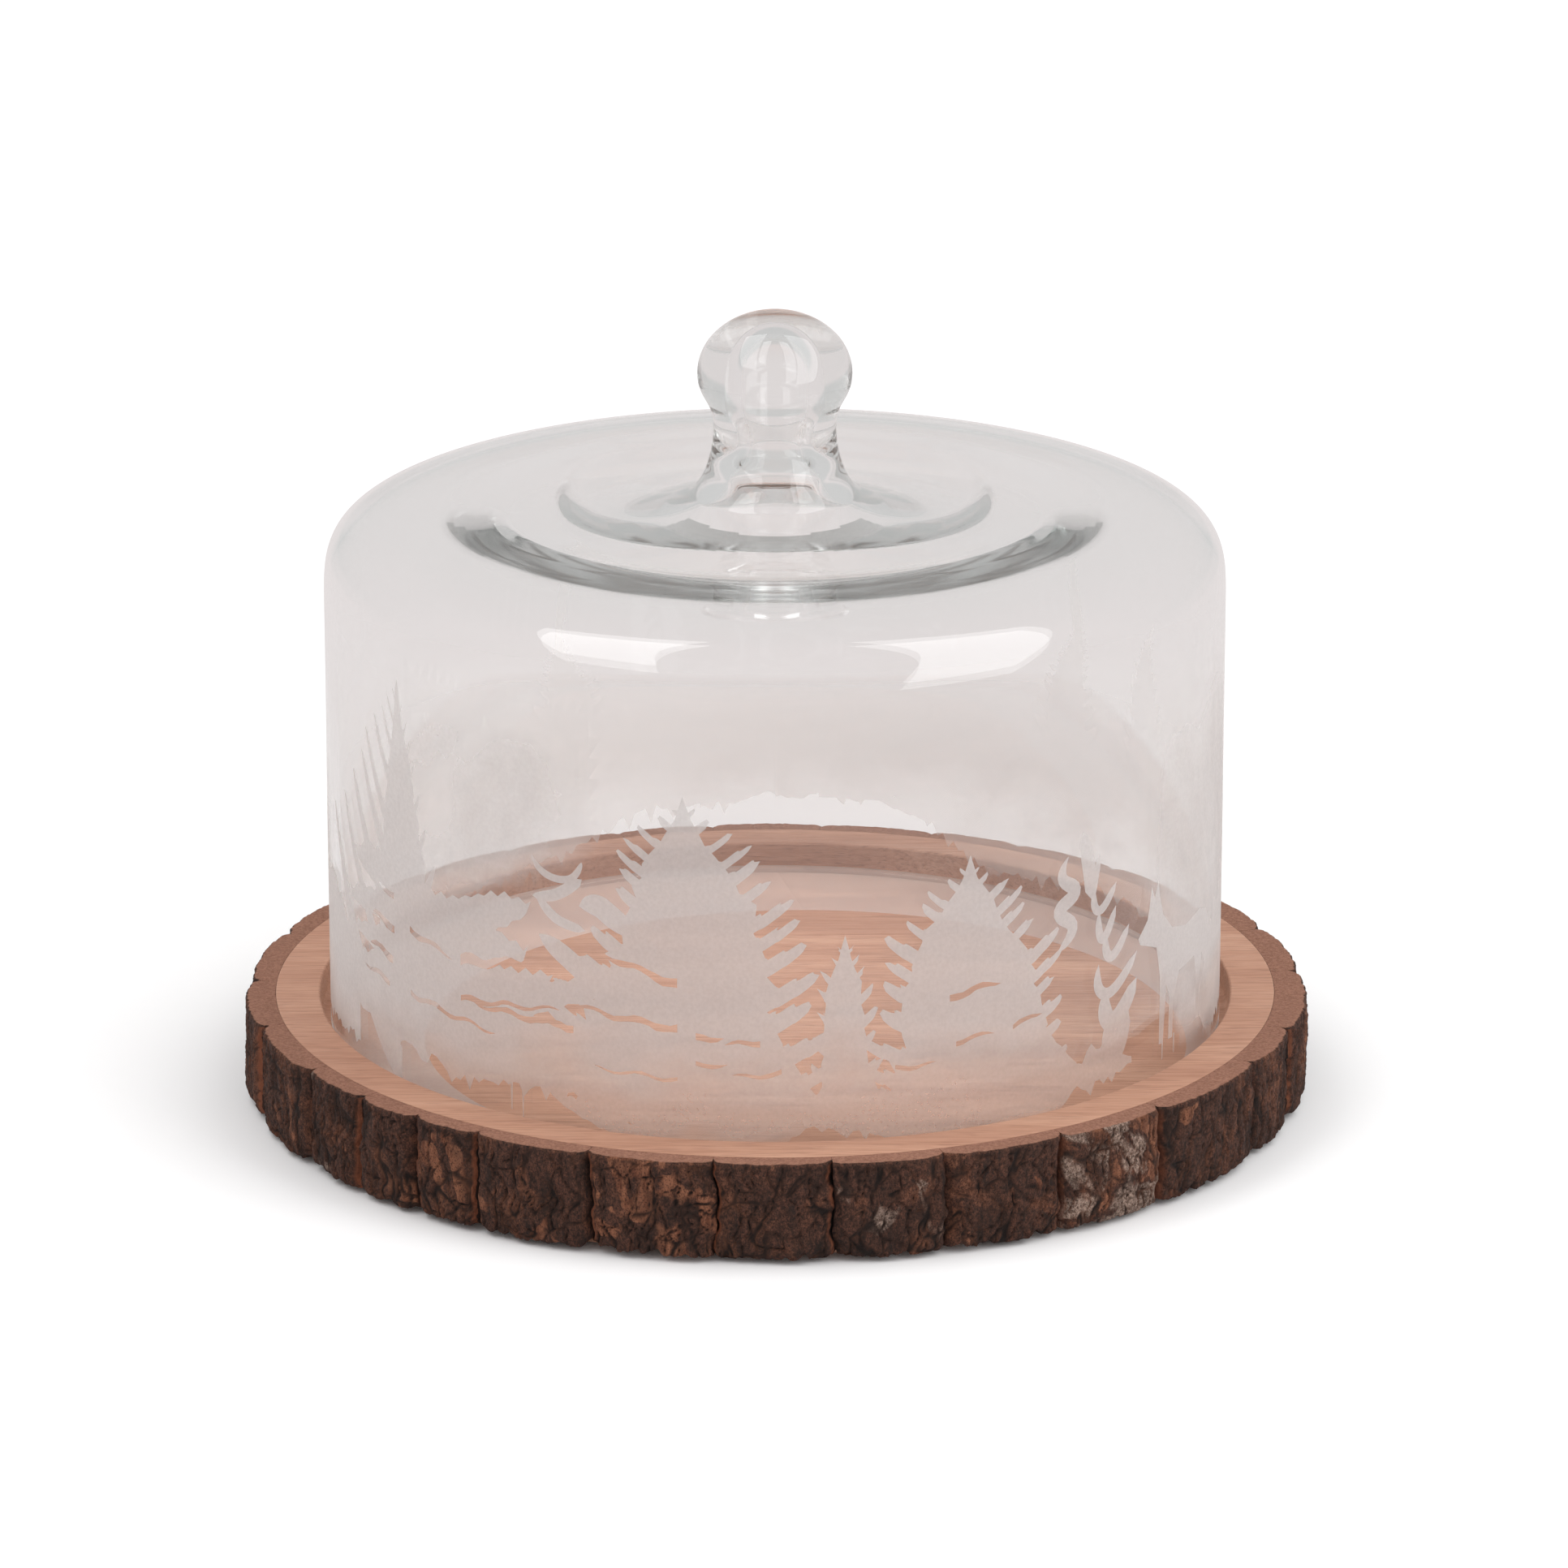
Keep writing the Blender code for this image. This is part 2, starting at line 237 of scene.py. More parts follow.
# Bezier stretches: start, its handle, the end's handle, end, steps
KNOB_SIDE = ((KNOB_BULB, (KNOB_BULB[0], 0.2080), (KNOB_NECK[0], 0.2080), KNOB_NECK, 16),
             (KNOB_NECK, (KNOB_NECK[0], 0.1920), (0.0205, 0.1828), COLLAR, 16))
CROWN_TOP = ((COLLAR, (0.0300, 0.1778), (VALLEY[0] - 0.019, VALLEY[1]), VALLEY, 40),
             (VALLEY, (VALLEY[0] + 0.008, VALLEY[1]), (CROWN_RING[0] - 0.009, CROWN), CROWN_RING, 20))
BORE_SIDE = ((BORE_MOUTH, (0.0110, 0.1900), (BORE_NECK[0], 0.1915), BORE_NECK, 12),
             (BORE_NECK, (BORE_NECK[0], 0.2040), (BORE_BULB[0], 0.2070), BORE_BULB, 10))
FUNNEL_EDGE = 0.0300  # the underside turns up into the bore inside this radius
FUNNEL_RISE = (0.0240, 0.0022)  # handle at the funnel's edge: its radius, and its height above the edge
FUNNEL_END = (0.0150, 0.1780)  # handle at the bore's mouth
SHOULDER_EDGE = 0.1000  # outside this radius the underside is a shoulder of its own
CROWN_WALL = 0.0036  # glass thickness at the shoulder's end of the crown
SWELL = 0.0021  # how much thicker the glass is inside the outer swell
SWELL_FRONT = (0.0880, 0.0620)  # between these radii it thickens, at the front and back
SWELL_SIDE = (0.0960, 0.0780)  # and at the sides, where the swell is steeper
RIPPLE = 0.0022  # a second swell round the knob, a little off the axis
RIPPLE_CENTRE = 0.0270
RIPPLE_RADIUS = 0.0640
RIPPLE_WIDTH = (0.0220, 0.0100)  # at its front and at its sides
UNDERSIDE = (0.1630, 0.1718)  # heights between which the crown's underside lies
RIPPLED_ENDS = (0.05, 0.45)  # cosines of the azimuths where the finely rippled part of the swell narrows
RIPPLED_ROUGHNESS = 0.10
GLASS_SHADOW = (0.93, 0.93, 0.925)
GLASS_TINT = (0.64, 0.66, 0.65)


def outer_swell(radius, azimuth):
    """How much of the outer swell's thickness is reached, more abruptly at the crown's sides."""
    side = math.sin(azimuth) ** 2
    start, end = (lerp(front, across, side) for front, across in zip(SWELL_FRONT, SWELL_SIDE))
    return clamp((start - radius) / (start - end))


def inner_swell(radius, azimuth):
    """How much of the inner swell's thickness is reached: abrupt at first, then easing."""
    x = radius * math.sin(azimuth)
    away = math.hypot(x, radius * math.cos(azimuth) + RIPPLE_CENTRE)
    share = clamp((RIPPLE_RADIUS - away) / lerp(*RIPPLE_WIDTH, (x / away) ** 2))
    return share * (2 - share)


def crown_thickness(radius, azimuth):
    """The hand-blown crown grows thicker towards the knob in two swells."""
    return CROWN_WALL + SWELL * outer_swell(radius, azimuth) + RIPPLE * inner_swell(radius, azimuth)


def is_rippled(place):
    """Whether a place lies on the front of the underside of either swell."""
    azimuth = math.atan2(place.x, -place.y)
    radius = math.hypot(place.x, place.y)
    reach = smoothstep(*RIPPLED_ENDS, math.cos(azimuth))
    on_swell = 0.0 < outer_swell(radius, azimuth) < reach or 0.0 < inner_swell(radius, azimuth) < reach
    return on_swell and UNDERSIDE[0] < place.z < UNDERSIDE[1]


def shoulder(wall, crown_wall):
    """The bell's shoulder from the crown to the wall, set in by the glass's two thicknesses."""
    width = SHOULDER_WIDTH - wall
    height = SHOULDER_HEIGHT - wall
    points = []
    for step in range(SHOULDER_STEPS + 1):
        angle = math.pi / 2 * (1 - step / SHOULDER_STEPS)
        points.append((BELL_RADIUS - wall - width + width * math.cos(angle) ** (2 / SHOULDER_POWER),
                       CROWN - crown_wall - height + height * math.sin(angle) ** (2 / SHOULDER_POWER)))
    return points


def stretches(listed):
    return [point for stretch in listed for point in bezier(*stretch)]


def glass_outline(azimuth):
    """The whole glass: down its outside from the knob's top, round its foot and up its inside."""
    knob = arc((0.0, KNOB_BULB[1]), (KNOB_BULB[0], KNOB_TOP - KNOB_BULB[1]), 90, 0, 24) + stretches(KNOB_SIDE)
    outside = stretches(CROWN_TOP) + shoulder(0.0, 0.0)[1:]
    foot = []
    for centre, start in ((BELL_RADIUS - FOOT_ROUND, 0), (BELL_RADIUS - WALL + FOOT_ROUND, -90)):
        foot += arc((centre, BELL_FOOT + FOOT_ROUND), (FOOT_ROUND, FOOT_ROUND), start, start - 90, 6)
    inside = [point for point in shoulder(WALL, CROWN_WALL) if point[0] > SHOULDER_EDGE]
    underside = [(r, z - crown_thickness(r, azimuth)) for r, z in outside if FUNNEL_EDGE < r < SHOULDER_EDGE]
    edge = underside[0]
    funnel = bezier(edge, (FUNNEL_RISE[0], edge[1] + FUNNEL_RISE[1]), FUNNEL_END, BORE_MOUTH, 24)
    bore = stretches(BORE_SIDE)
    bore += arc((0.0, BORE_BULB[1]), (BORE_BULB[0], BORE_TOP - BORE_BULB[1]), 0, 90, 12)[1:]
    return [*knob, *outside, *foot, *inside[::-1], *underside[::-1], *funnel, *bore]


def refined(outline, longest):
    """An outline with its long straight stretches split, so that smooth shading stays true along them."""
    points = [outline[0]]
    for start, end in zip(outline, outline[1:]):
        parts = math.ceil(math.dist(start, end) / longest)
        for part in range(1, parts + 1):
            points.append(tuple(first + (last - first) * part / parts for first, last in zip(start, end)))
    return points


def glass_mesh():
    """The glass as one grid of outlines side by side, closed to a point at both ends on the axis."""
    shape = bmesh.new()
    columns = []
    top = shape.verts.new((0.0, 0.0, KNOB_TOP))
    bore_top = shape.verts.new((0.0, 0.0, BORE_TOP))
    for step in range(GLASS_STEPS):
        azimuth = 2 * math.pi * step / GLASS_STEPS
        ring = [shape.verts.new((r * math.sin(azimuth), -r * math.cos(azimuth), z))
                for r, z in refined(glass_outline(azimuth), WALL_STEP)[1:-1]]
        columns.append([top, *ring, bore_top])
    for first, second in zip(columns, columns[1:] + columns[:1]):
        shape.faces.new((top, second[1], first[1]))
        for index in range(1, len(first) - 2):
            face = shape.faces.new((first[index], second[index], second[index + 1], first[index + 1]))
            face.material_index = int(is_rippled(face.calc_center_median()))
        shape.faces.new((first[-2], second[-2], bore_top))
    return finished_mesh("glass", shape)


def glass_material(name, roughness):
    nodes = Nodes(bpy.data.materials.new(name))
    glass = nodes.add("BsdfPrincipled", {"Base Color": 0.99, "Roughness": roughness, "IOR": 1.5,
                                         "Transmission Weight": 1.0})
    shadow = nodes.add("BsdfTransparent", {"Color": GLASS_SHADOW})
    tint = nodes.add("VolumeAbsorption", {"Color": GLASS_TINT, "Density": 10.0})
    nodes.feed(nodes.output.inputs["Volume"], tint)
    return nodes.finish(nodes.mix_shader(nodes.add("LightPath").outputs["Is Shadow Ray"], glass, shadow))


def make_glass():
    mesh = glass_mesh()
    glass = new_object("blown_glass_bell", mesh, "dome")
    mesh.materials.append(glass_material("blown_glass", 0.0))
    mesh.materials.append(glass_material("rippled_glass", RIPPLED_ROUGHNESS))
    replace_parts(glass, "glass_bell", "glass_knob")


# Board of planks

BOARD_STEPS = 256  # faces round the board
RECESS_RADIUS = 0.1335
RECESS_FLOOR = 0.0215
RECESS_FILLET = 0.0015
RIM_ROUND = 0.0008
ROUND_STEPS = 8
PLANK_GAP = 0.00004
BLOCK_LENGTH = 0.4  # the block that cuts a plank out of the board is longer than the board
BLOCK_HEIGHT = 0.08  # and higher
PLANK_TINTS = ((1.02, 1.0, 0.98), (1.0, 0.97, 0.95), (0.98, 0.95, 0.93), (0.95, 0.90, 0.87),
               (0.97, 0.92, 0.9))
GRAIN_SHIFT = 3.7  # the grain of each plank starts this much further on
WOOD = ((0.30, (0.465, 0.246, 0.163)), (0.5, (0.530, 0.292, 0.196)), (0.72, (0.590, 0.344, 0.238)))
WOOD_GRAIN = (0.36, 0.172, 0.108)
WOOD_PORE = (0.24, 0.105, 0.066)


def board_outline():
    fillet = (RECESS_RADIUS - RECESS_FILLET, RECESS_FLOOR + RECESS_FILLET)
    rim = (RECESS_RADIUS + RIM_ROUND, BOARD_TOP - RIM_ROUND)
    return [(0.0, RECESS_FLOOR), *arc(fillet, (RECESS_FILLET, RECESS_FILLET), -90, 0, ROUND_STEPS),
            *arc(rim, (RIM_ROUND, RIM_ROUND), 180, 90, ROUND_STEPS),
            (BOARD_RADIUS, BOARD_TOP), (BOARD_RADIUS, BOARD_BOTTOM), (0.0, BOARD_BOTTOM)]


def board_mesh():
    """The whole board, turned about Z from its outline."""
    shape = bmesh.new()
    verts = [shape.verts.new((r, 0.0, z)) for r, z in board_outline()]
    edges = [shape.edges.new(pair) for pair in zip(verts, verts[1:])]
    bmesh.ops.spin(shape, geom=[*verts, *edges], cent=(0, 0, 0), axis=(0, 0, 1), steps=BOARD_STEPS,
                   angle=2 * math.pi, use_merge=True)
    bmesh.ops.remove_doubles(shape, verts=list(shape.verts), dist=0.000002)
    return finished_mesh("board", shape)


def wood_material(name, tint, offset):
    """Oiled reddish-tan wood with its grain along X."""
    nodes = Nodes(bpy.data.materials.new(name))
    broad = nodes.noise(nodes.place((5.0, 45.0, 45.0), (offset, offset * 0.7, 0.0)), 1.0, 3.0, 0.5, 1.2)
    fine = nodes.noise(nodes.place((30.0, 900.0, 900.0), (offset, 0.0, offset)), 1.0, 4.0, 0.6, 0.9)
    pore = nodes.noise(nodes.place((80.0, 2400.0, 2400.0), (0.0, offset, 0.0)), 1.0, 2.0, 0.5, 0.6)
    colour = nodes.lay(fine, ((0.47, 0.0), (0.66, 0.55)), nodes.ramp(broad, WOOD), WOOD_GRAIN)
    colour = nodes.lay(pore, ((0.56, 0.0), (0.68, 0.65)), colour, WOOD_PORE)
    colour = nodes.mix(1.0, colour, tint, "MULTIPLY")
    rough = nodes.ramp(fine, ((0.3, 0.50), (0.7, 0.66)))
    height = nodes.mix(0.5, nodes.ramp(fine, ((0.3, 1.0), (0.7, 0.0))),
                       nodes.ramp(pore, ((0.6, 1.0), (0.75, 0.0))))
    return nodes.finish(nodes.add("BsdfPrincipled", {"Base Color": colour, "Roughness": rough, "IOR": 1.45,
                                                     "Normal": nodes.bump(height, 0.00012)}))


def plank_mesh(board, low_y, high_y):
    """The part of the board between two glue lines."""
    bpy.ops.mesh.primitive_cube_add(size=1.0, location=(0.0, (low_y + high_y) / 2, BOARD_TOP / 2))
    block = bpy.context.active_object
    block.scale = (BLOCK_LENGTH, high_y - low_y, BLOCK_HEIGHT)
    cut = block.modifiers.new("Trim", "BOOLEAN")
    cut.operation = "INTERSECT"
    cut.object = board
    graph = bpy.context.evaluated_depsgraph_get()
    mesh = bpy.data.meshes.new_from_object(block.evaluated_get(graph))
    mesh.transform(block.matrix_world)
    bpy.data.objects.remove(block)
    return mesh


def make_planks():
    board = bpy.data.objects.new("whole_board", board_mesh())
    bpy.context.collection.objects.link(board)
    boxes = [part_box(name) for name in PLANKS]
    glue_lines = [(below[1][1] + above[0][1]) / 2 for below, above in zip(boxes, boxes[1:])]
    edges = [-BLOCK_LENGTH / 2, *glue_lines, BLOCK_LENGTH / 2]
    for index, name in enumerate(PLANKS):
        mesh = plank_mesh(board, edges[index] + PLANK_GAP / 2, edges[index + 1] - PLANK_GAP / 2)
        mesh.name = name
        mesh.materials.clear()
        mesh.materials.append(wood_material(name + "_wood", PLANK_TINTS[index], GRAIN_SHIFT * index))
        mesh.shade_smooth()
        mesh.set_sharp_from_angle(angle=math.radians(25.0))
        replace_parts(new_object("wood_" + name, mesh, "board"), name)
    bpy.data.objects.remove(board)


# Bark

BARK_INNER_RADIUS = BOARD_RADIUS + 0.0001
BARK_SEAM = 0.0001  # a plate reaches this far past its CAD node at each end
BARK_COLUMN = 0.0006  # size of one face along the rim
BARK_FACE_ROWS = 44
BARK_TOP_ROWS = 8
BARK_TOP_STEPS = 3  # in the rounding between the face and the top
BARK_FOOT_ROWS = 5
BARK_MARGIN = 0.0007  # the relief stands at most this far out of the smooth plate
BARK_LEAST = 0.0008  # a plate is at least this thick
BARK_TOP_ROUND = 0.0009
BARK_FOOT_ROUND = 0.0011
FOOT_INSET = 0.0009
FOOT_RAGGED = 0.0024  # how far the foot of a plate is broken away at most
TERRACE_HEIGHT = 0.00055  # the parts of the relief: flat scales, their swell, cracks and grain
SCALE_HEIGHT = 0.0003
CRACK_DEPTH = 0.0009
GRAIN_HEIGHT = 0.00026
TERRACES = 3.5  # scale levels in one unit of noise
JOINT_DEPTH = 0.0030
JOINT_WIDTH = 0.0011
JOINT_FULL = 0.0012  # a joint this deep shows its full colour, down to the painted shade at its bottom
JOINT_WANDER = 0.0014  # the joints stray this far from upright
JOINT_BEND = 0.0070  # height over which they change direction
PLATE_BULGE = 0.0013  # how far a plate's face falls back from its middle to its ends
SAWN_DEPTH = 0.0006  # the sawn top's colour reaches this far down


def plate_angles(name):
    """(low, high) angle of a CAD plate round the rim, from the front towards +X, and its greatest radius."""
    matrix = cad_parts[name].matrix_world
    points = [matrix @ vert.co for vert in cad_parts[name].data.vertices]
    centre = math.atan2(sum(point.x for point in points), -sum(point.y for point in points))
    turns = []
    for point in points:
        turn = math.atan2(point.x, -point.y) - centre
        turns.append((turn + math.pi) % (2 * math.pi) - math.pi)
    radius = max(math.hypot(point.x, point.y) for point in points)
    return centre + min(turns), centre + max(turns), radius


def bark_relief(along, height, seed):
    """Height of the bark's face over a smooth plate, in metres, and how deep in a crack it lies, 0 to 1."""
    place = Vector((along / MM, height / MM, 17.0 * seed))
    # Flat scales on warped ground, cracks that run upright, level and round cells, and a fine grain
    warp = 3.0 * noise.noise_vector(0.12 * place)
    bent = Vector((place.x + warp.x, 0.6 * (place.y + warp.y), place.z))
    scale = noise.fractal(0.11 * bent, 0.9, 2.0, 3)
    upright = noise.noise(Vector((0.22 * bent.x, 0.05 * bent.y, place.z + 5.0)))
    crack = max(0.0, 1 - 10 * abs(upright)) ** 1.5
    level = noise.noise(Vector((0.06 * bent.x, 0.35 * bent.y, place.z + 9.0)))
    patchy = smoothstep(0.05, 0.3, noise.noise(Vector((0.08 * place.x, 0.08 * place.y, place.z + 2.0))))
    crack = max(crack, patchy * max(0.0, 1 - 12 * abs(level)))
    cells, _ = noise.voronoi(0.16 * bent)
    crack = max(crack, 0.7 * (1 - smoothstep(0.0, 0.09, cells[1] - cells[0])))
    grain = noise.fractal(Vector((0.9 * place.x, 0.5 * place.y, place.z)), 0.7, 2.0, 4)
    terrace = round(TERRACES * scale) / TERRACES
    relief = TERRACE_HEIGHT * terrace + SCALE_HEIGHT * scale - CRACK_DEPTH * crack + GRAIN_HEIGHT * grain
    return relief, crack


def wander(boundary, height):
    """How far, in metres along the rim, a joint strays from its straight upright line."""
    place = Vector((40 * math.cos(boundary), 40 * math.sin(boundary), height / JOINT_BEND))
    return JOINT_WANDER * noise.fractal(place, 0.9, 2.0, 3)


def joint_fall(along, width, joints):
    """How far the face falls back into the joints at the plate's two ends, and how strongly the joint's
    colour shows there: its rust, and in the deepest its painted shade.
    """
    ends = (along, max(0.0, width - along))
    return max((depth * math.exp(-(end / wide) ** 1.4), rust)
               for end, (depth, wide, rust) in zip(ends, joints))


def bark_column(along, width, outer_radius, foot_low, seed, joints):
    """One outline across the bark at a place along the plate: (radius, height, crack, joint, face height)."""
    fall, rust = joint_fall(along, width, joints)
    ragged = FOOT_RAGGED * max(0.0, noise.fractal(Vector((190 * along, seed, 3.0)), 0.8, 2.0, 3))
    foot = foot_low + ragged + 0.12 * fall
    base = outer_radius - BARK_MARGIN - PLATE_BULGE * abs(2 * along / width - 1) ** 3
    path = []
    for row in range(BARK_FOOT_ROWS):
        r = BARK_INNER_RADIUS + (base - fall - FOOT_INSET - BARK_INNER_RADIUS) * row / BARK_FOOT_ROWS
        path.append((r, foot + 0.0002 * noise.noise(Vector((900 * along, 900 * r, seed))), 0.2, 0.0, 0.0))
    for row in range(BARK_FACE_ROWS + 1):
        z = foot + (BOARD_TOP - BARK_TOP_ROUND - foot) * row / BARK_FACE_ROWS
        relief, crack = bark_relief(along, z, seed)
        below_top = (BOARD_TOP - z) / MM
        calm = 1 - 0.7 * math.exp(-below_top / 1.6)
        fall_here = fall * (0.55 + 0.45 * min(1.0, below_top / 5.0))
        rounding = BARK_FOOT_ROUND * math.exp(-(z - foot) / BARK_FOOT_ROUND)
        r = base + relief * calm - rounding - fall_here
        path.append((r, z, crack * calm, rust * min(1.0, fall_here / JOINT_FULL), relief / MM))
    centre = (path[-1][0] - BARK_TOP_ROUND, BOARD_TOP - BARK_TOP_ROUND)
    for r, z in arc(centre, (BARK_TOP_ROUND, BARK_TOP_ROUND), 0, 90, BARK_TOP_STEPS)[1:]:
        path.append((r, z, 0.0, 0.0, 0.3))
    edge = path[-1][0]
    for row in range(1, BARK_TOP_ROWS + 1):
        r = edge + (BARK_INNER_RADIUS - edge) * row / BARK_TOP_ROWS
        sag = 0.00015 * abs(noise.noise(Vector((600 * along, 1400 * r, seed))))
        path.append((r, BOARD_TOP - sag, 0.0, 0.0, 0.3))
    last = len(path) - 1
    return [(max(r, BARK_INNER_RADIUS + (BARK_LEAST if 0 < index < last else 0.0)), *rest)
            for index, (r, *rest) in enumerate(path)]


def bark_plate(name, number):
    """One plate of bark: a row of outlines side by side along the rim, closed at both ends."""
    low, high, outer_radius = plate_angles(name)
    low -= BARK_SEAM / BARK_INNER_RADIUS
    high += BARK_SEAM / BARK_INNER_RADIUS
    rng = random.Random(200 + number)
    width = (high - low) * outer_radius
    columns = max(12, round(width / BARK_COLUMN))
    foot_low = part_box(name)[0][2]
    seed = 50 * rng.random()
    joints = [(JOINT_DEPTH * rng.uniform(0.45, 1.0), JOINT_WIDTH * rng.choice((0.6, 0.8, 1.0, 1.9)),
               rng.choice((0.15, 0.35, 1.0))) for _ in range(2)]
    shape = bmesh.new()
    layers = [shape.verts.layers.float.new(layer) for layer in ("crack", "joint", "relief")]
    rings = []
    for column in range(columns + 1):
        angle = low + (high - low) * column / columns
        along = width * column / columns
        ring = []
        for r, z, crack, joint, face in bark_column(along, width, outer_radius, foot_low, seed, joints):
            stray = wander(low, z) + (wander(high, z) - wander(low, z)) * column / columns
            turned = angle + stray / outer_radius
            x = min(max(r * math.sin(turned), CAD_LOW[0]), CAD_HIGH[0])
            y = min(max(-r * math.cos(turned), CAD_LOW[1]), CAD_HIGH[1])
            vert = shape.verts.new((x, y, z))
            for layer, value in zip(layers, (crack, joint, 0.5 + 0.5 * face)):
                vert[layer] = value
            ring.append(vert)
        rings.append(ring)
    count = len(rings[0])
    for first, second in zip(rings, rings[1:]):
        for index in range(count):
            following = (index + 1) % count
            shape.faces.new((first[index], second[index], second[following], first[following]))
    shape.faces.new(rings[0])
    shape.faces.new(rings[-1][::-1])
    mesh = finished_mesh("bark_%02d" % number, shape)
    mesh.set_sharp_from_angle(angle=math.radians(60.0))
    return mesh


def bark_material(name, seed, rust, lichen):
    """Dark cracked bark; rust is the share of flaked orange wood, lichen the share of grey crust."""
    nodes = Nodes(bpy.data.materials.new(name))
    crack, joint, relief = (nodes.add("Attribute", attribute_name=layer).outputs["Fac"]
                            for layer in ("crack", "joint", "relief"))
    grit = nodes.noise(nodes.place((1, 1, 0.8), (seed, 0, seed)), 1100.0, 5.0, 0.75)
    speck = nodes.noise(nodes.place((1, 1, 0.7), (0, 0, seed)), 2600.0, 3.0, 0.7)
    streak = nodes.noise(nodes.place((1, 1, 0.22), (0, seed, 0)), 420.0, 4.0, 0.7)
    blotch = nodes.noise(nodes.place((1, 1, 0.8), (seed, seed, 0)), 85.0, 6.0, 0.7, 0.5)
    patch = nodes.noise(nodes.place((1, 1, 0.75), (0, 0, 1.7 * seed)), 62.0, 3.0, 0.5, 1.0)
    # Dark weathered bark, streaked, with brown blotches
    colour = nodes.lay(grit, ((0.36, 0.0), (0.62, 1.0)), (0.020, 0.009, 0.005), (0.135, 0.054, 0.033))
    colour = nodes.lay(streak, ((0.52, 0.0), (0.66, 0.75)), colour, (0.014, 0.008, 0.006))
    brown = nodes.lay(grit, ((0.40, 0.0), (0.60, 1.0)), (0.085, 0.030, 0.015), (0.245, 0.098, 0.054))
    colour = nodes.lay(blotch, ((0.50, 0.0), (0.60, 0.85)), colour, brown)
    # Patches flaked to the orange fibres, and patches of crust
    fibre = nodes.lay(streak, ((0.40, 0.0), (0.62, 1.0)), (0.330, 0.135, 0.072), (0.150, 0.050, 0.024))
    low = 0.67 - 0.16 * rust
    colour = nodes.lay(patch, ((low, 0.0), (low + 0.02, 0.95)), colour, fibre)
    crust = nodes.lay(grit, ((0.42, 0.0), (0.60, 1.0)), (0.160, 0.098, 0.072), (0.520, 0.380, 0.305))
    high = 0.22 + 0.37 * lichen
    colour = nodes.lay(patch, ((high, 0.9), (high + 0.05, 0.0)), colour, crust)
    # Painted shade darkens the hollows of the relief, then dark specks, then cracks and joints, rusty at
    # their edges and with painted shade at their deepest
    colour = nodes.lay(relief, ((0.05, 0.75), (0.50, 0.0)), colour, (0.012, 0.006, 0.004))
    colour = nodes.lay(speck, ((0.38, 0.75), (0.50, 0.0)), colour, (0.010, 0.005, 0.004))
    rusty = nodes.lay(blotch, ((0.46, 0.0), (0.58, 1.0)), (0.040, 0.016, 0.009), (0.150, 0.058, 0.030))
    colour = nodes.lay(crack, ((0.12, 0.0), (0.40, 0.6)), colour, rusty)
    # Painted shade: the deepest parts of the cracks go nearly black
    colour = nodes.lay(crack, ((0.35, 0.0), (0.80, 0.9)), colour, (0.008, 0.004, 0.003))
    groove = nodes.lay(blotch, ((0.38, 0.0), (0.52, 1.0)), (0.030, 0.010, 0.005), (0.240, 0.078, 0.036))
    colour = nodes.lay(joint, ((0.14, 0.0), (0.50, 0.9)), colour, groove)
    # Painted shade: the deepest joints go nearly black at their bottom
    colour = nodes.lay(joint, ((0.90, 0.0), (1.0, 0.9)), colour, (0.006, 0.003, 0.002))
    # The sawn top
    sawn = nodes.lay(grit, ((0.35, 0.0), (0.65, 1.0)), (0.270, 0.122, 0.078), (0.480, 0.240, 0.160))
    up = nodes.axis(nodes.add("NewGeometry").outputs["Normal"], "Z")
    at_top = nodes.math("GREATER_THAN", nodes.axis(nodes.place(), "Z"), BOARD_TOP - SAWN_DEPTH)
    on_top = nodes.math("MULTIPLY", nodes.ramp(up, ((0.80, 0.0), (0.97, 1.0))), at_top)
    rough = nodes.bump(nodes.mix(0.4, grit, streak), 0.0016)
    return nodes.finish(nodes.add("BsdfPrincipled", {"Base Color": nodes.mix(on_top, colour, sawn),
                                                     "Roughness": 0.85, "IOR": 1.4, "Normal": rough}))


# (share of rust, share of lichen) of each kind of plate, and the plates that are not one of the plain kinds
BARK_KINDS = ((0.15, 0.0), (0.35, 0.1), (0.65, 0.0), (0.3, 0.85), (0.2, 0.28))
PLAIN_KINDS = (0, 0, 1, 4)
SPECIAL_PLATES = {"bark_plate_08": 2, "bark_plate_12": 3}


def make_bark():
    finishes = [bark_material("bark_%d" % index, 2.3 * index + 0.7, rust, lichen)
                for index, (rust, lichen) in enumerate(BARK_KINDS)]
    order = random.Random(5)
    for number, name in enumerate(BARK_PLATES):
        mesh = bark_plate(name, number)
        mesh.materials.append(finishes[SPECIAL_PLATES.get(name, order.choice(PLAIN_KINDS))])
        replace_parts(new_object("natural_" + name, mesh, "board"), name)


# Frosted print: flat shapes in (arc length from the front, height), millimetres, wrapped round the bell

FROST_RADIUS = BELL_RADIUS + 0.00012
HALF_TURN = math.pi * BELL_RADIUS * 1000
FROST_COLUMNS = 218  # upright cuts that let the print bend round the bell
FROST_ROW = 6.0  # spacing of the level cuts
FROST_TOP = 162.0
CUT_REACH = 0.01  # points and edges closer than this are merged
GROUND_FOOT = (21.9, 23.7)  # the band at the foot that is ground matt all round
FOOT_COVER = 0.35
TRUNK = 0.8  # half width of a trunk
CORE_STEP = 3.4  # spacing of the jags on a fir's core
CORE_TIP = 0.2  # share of its full width that the core has at the tip
CORE_GROWTH = 3.0  # and how fast it grows from there
LIMB_STEP = 1.15
LOBE = 5.2  # spacing of the lobes along a limb
TOOTH = 2.4  # spacing of the teeth along a layer
BAND_STEPS = 8
BAND_BLUNT = 5  # a greater power keeps a band's width closer to its ends
SLIT_STEP = 2.0
GROUND_STEP = 1.8
BACK_START = 190.0  # arc length beyond which the print is on the back half
BACK_TREE_FOOT = 46
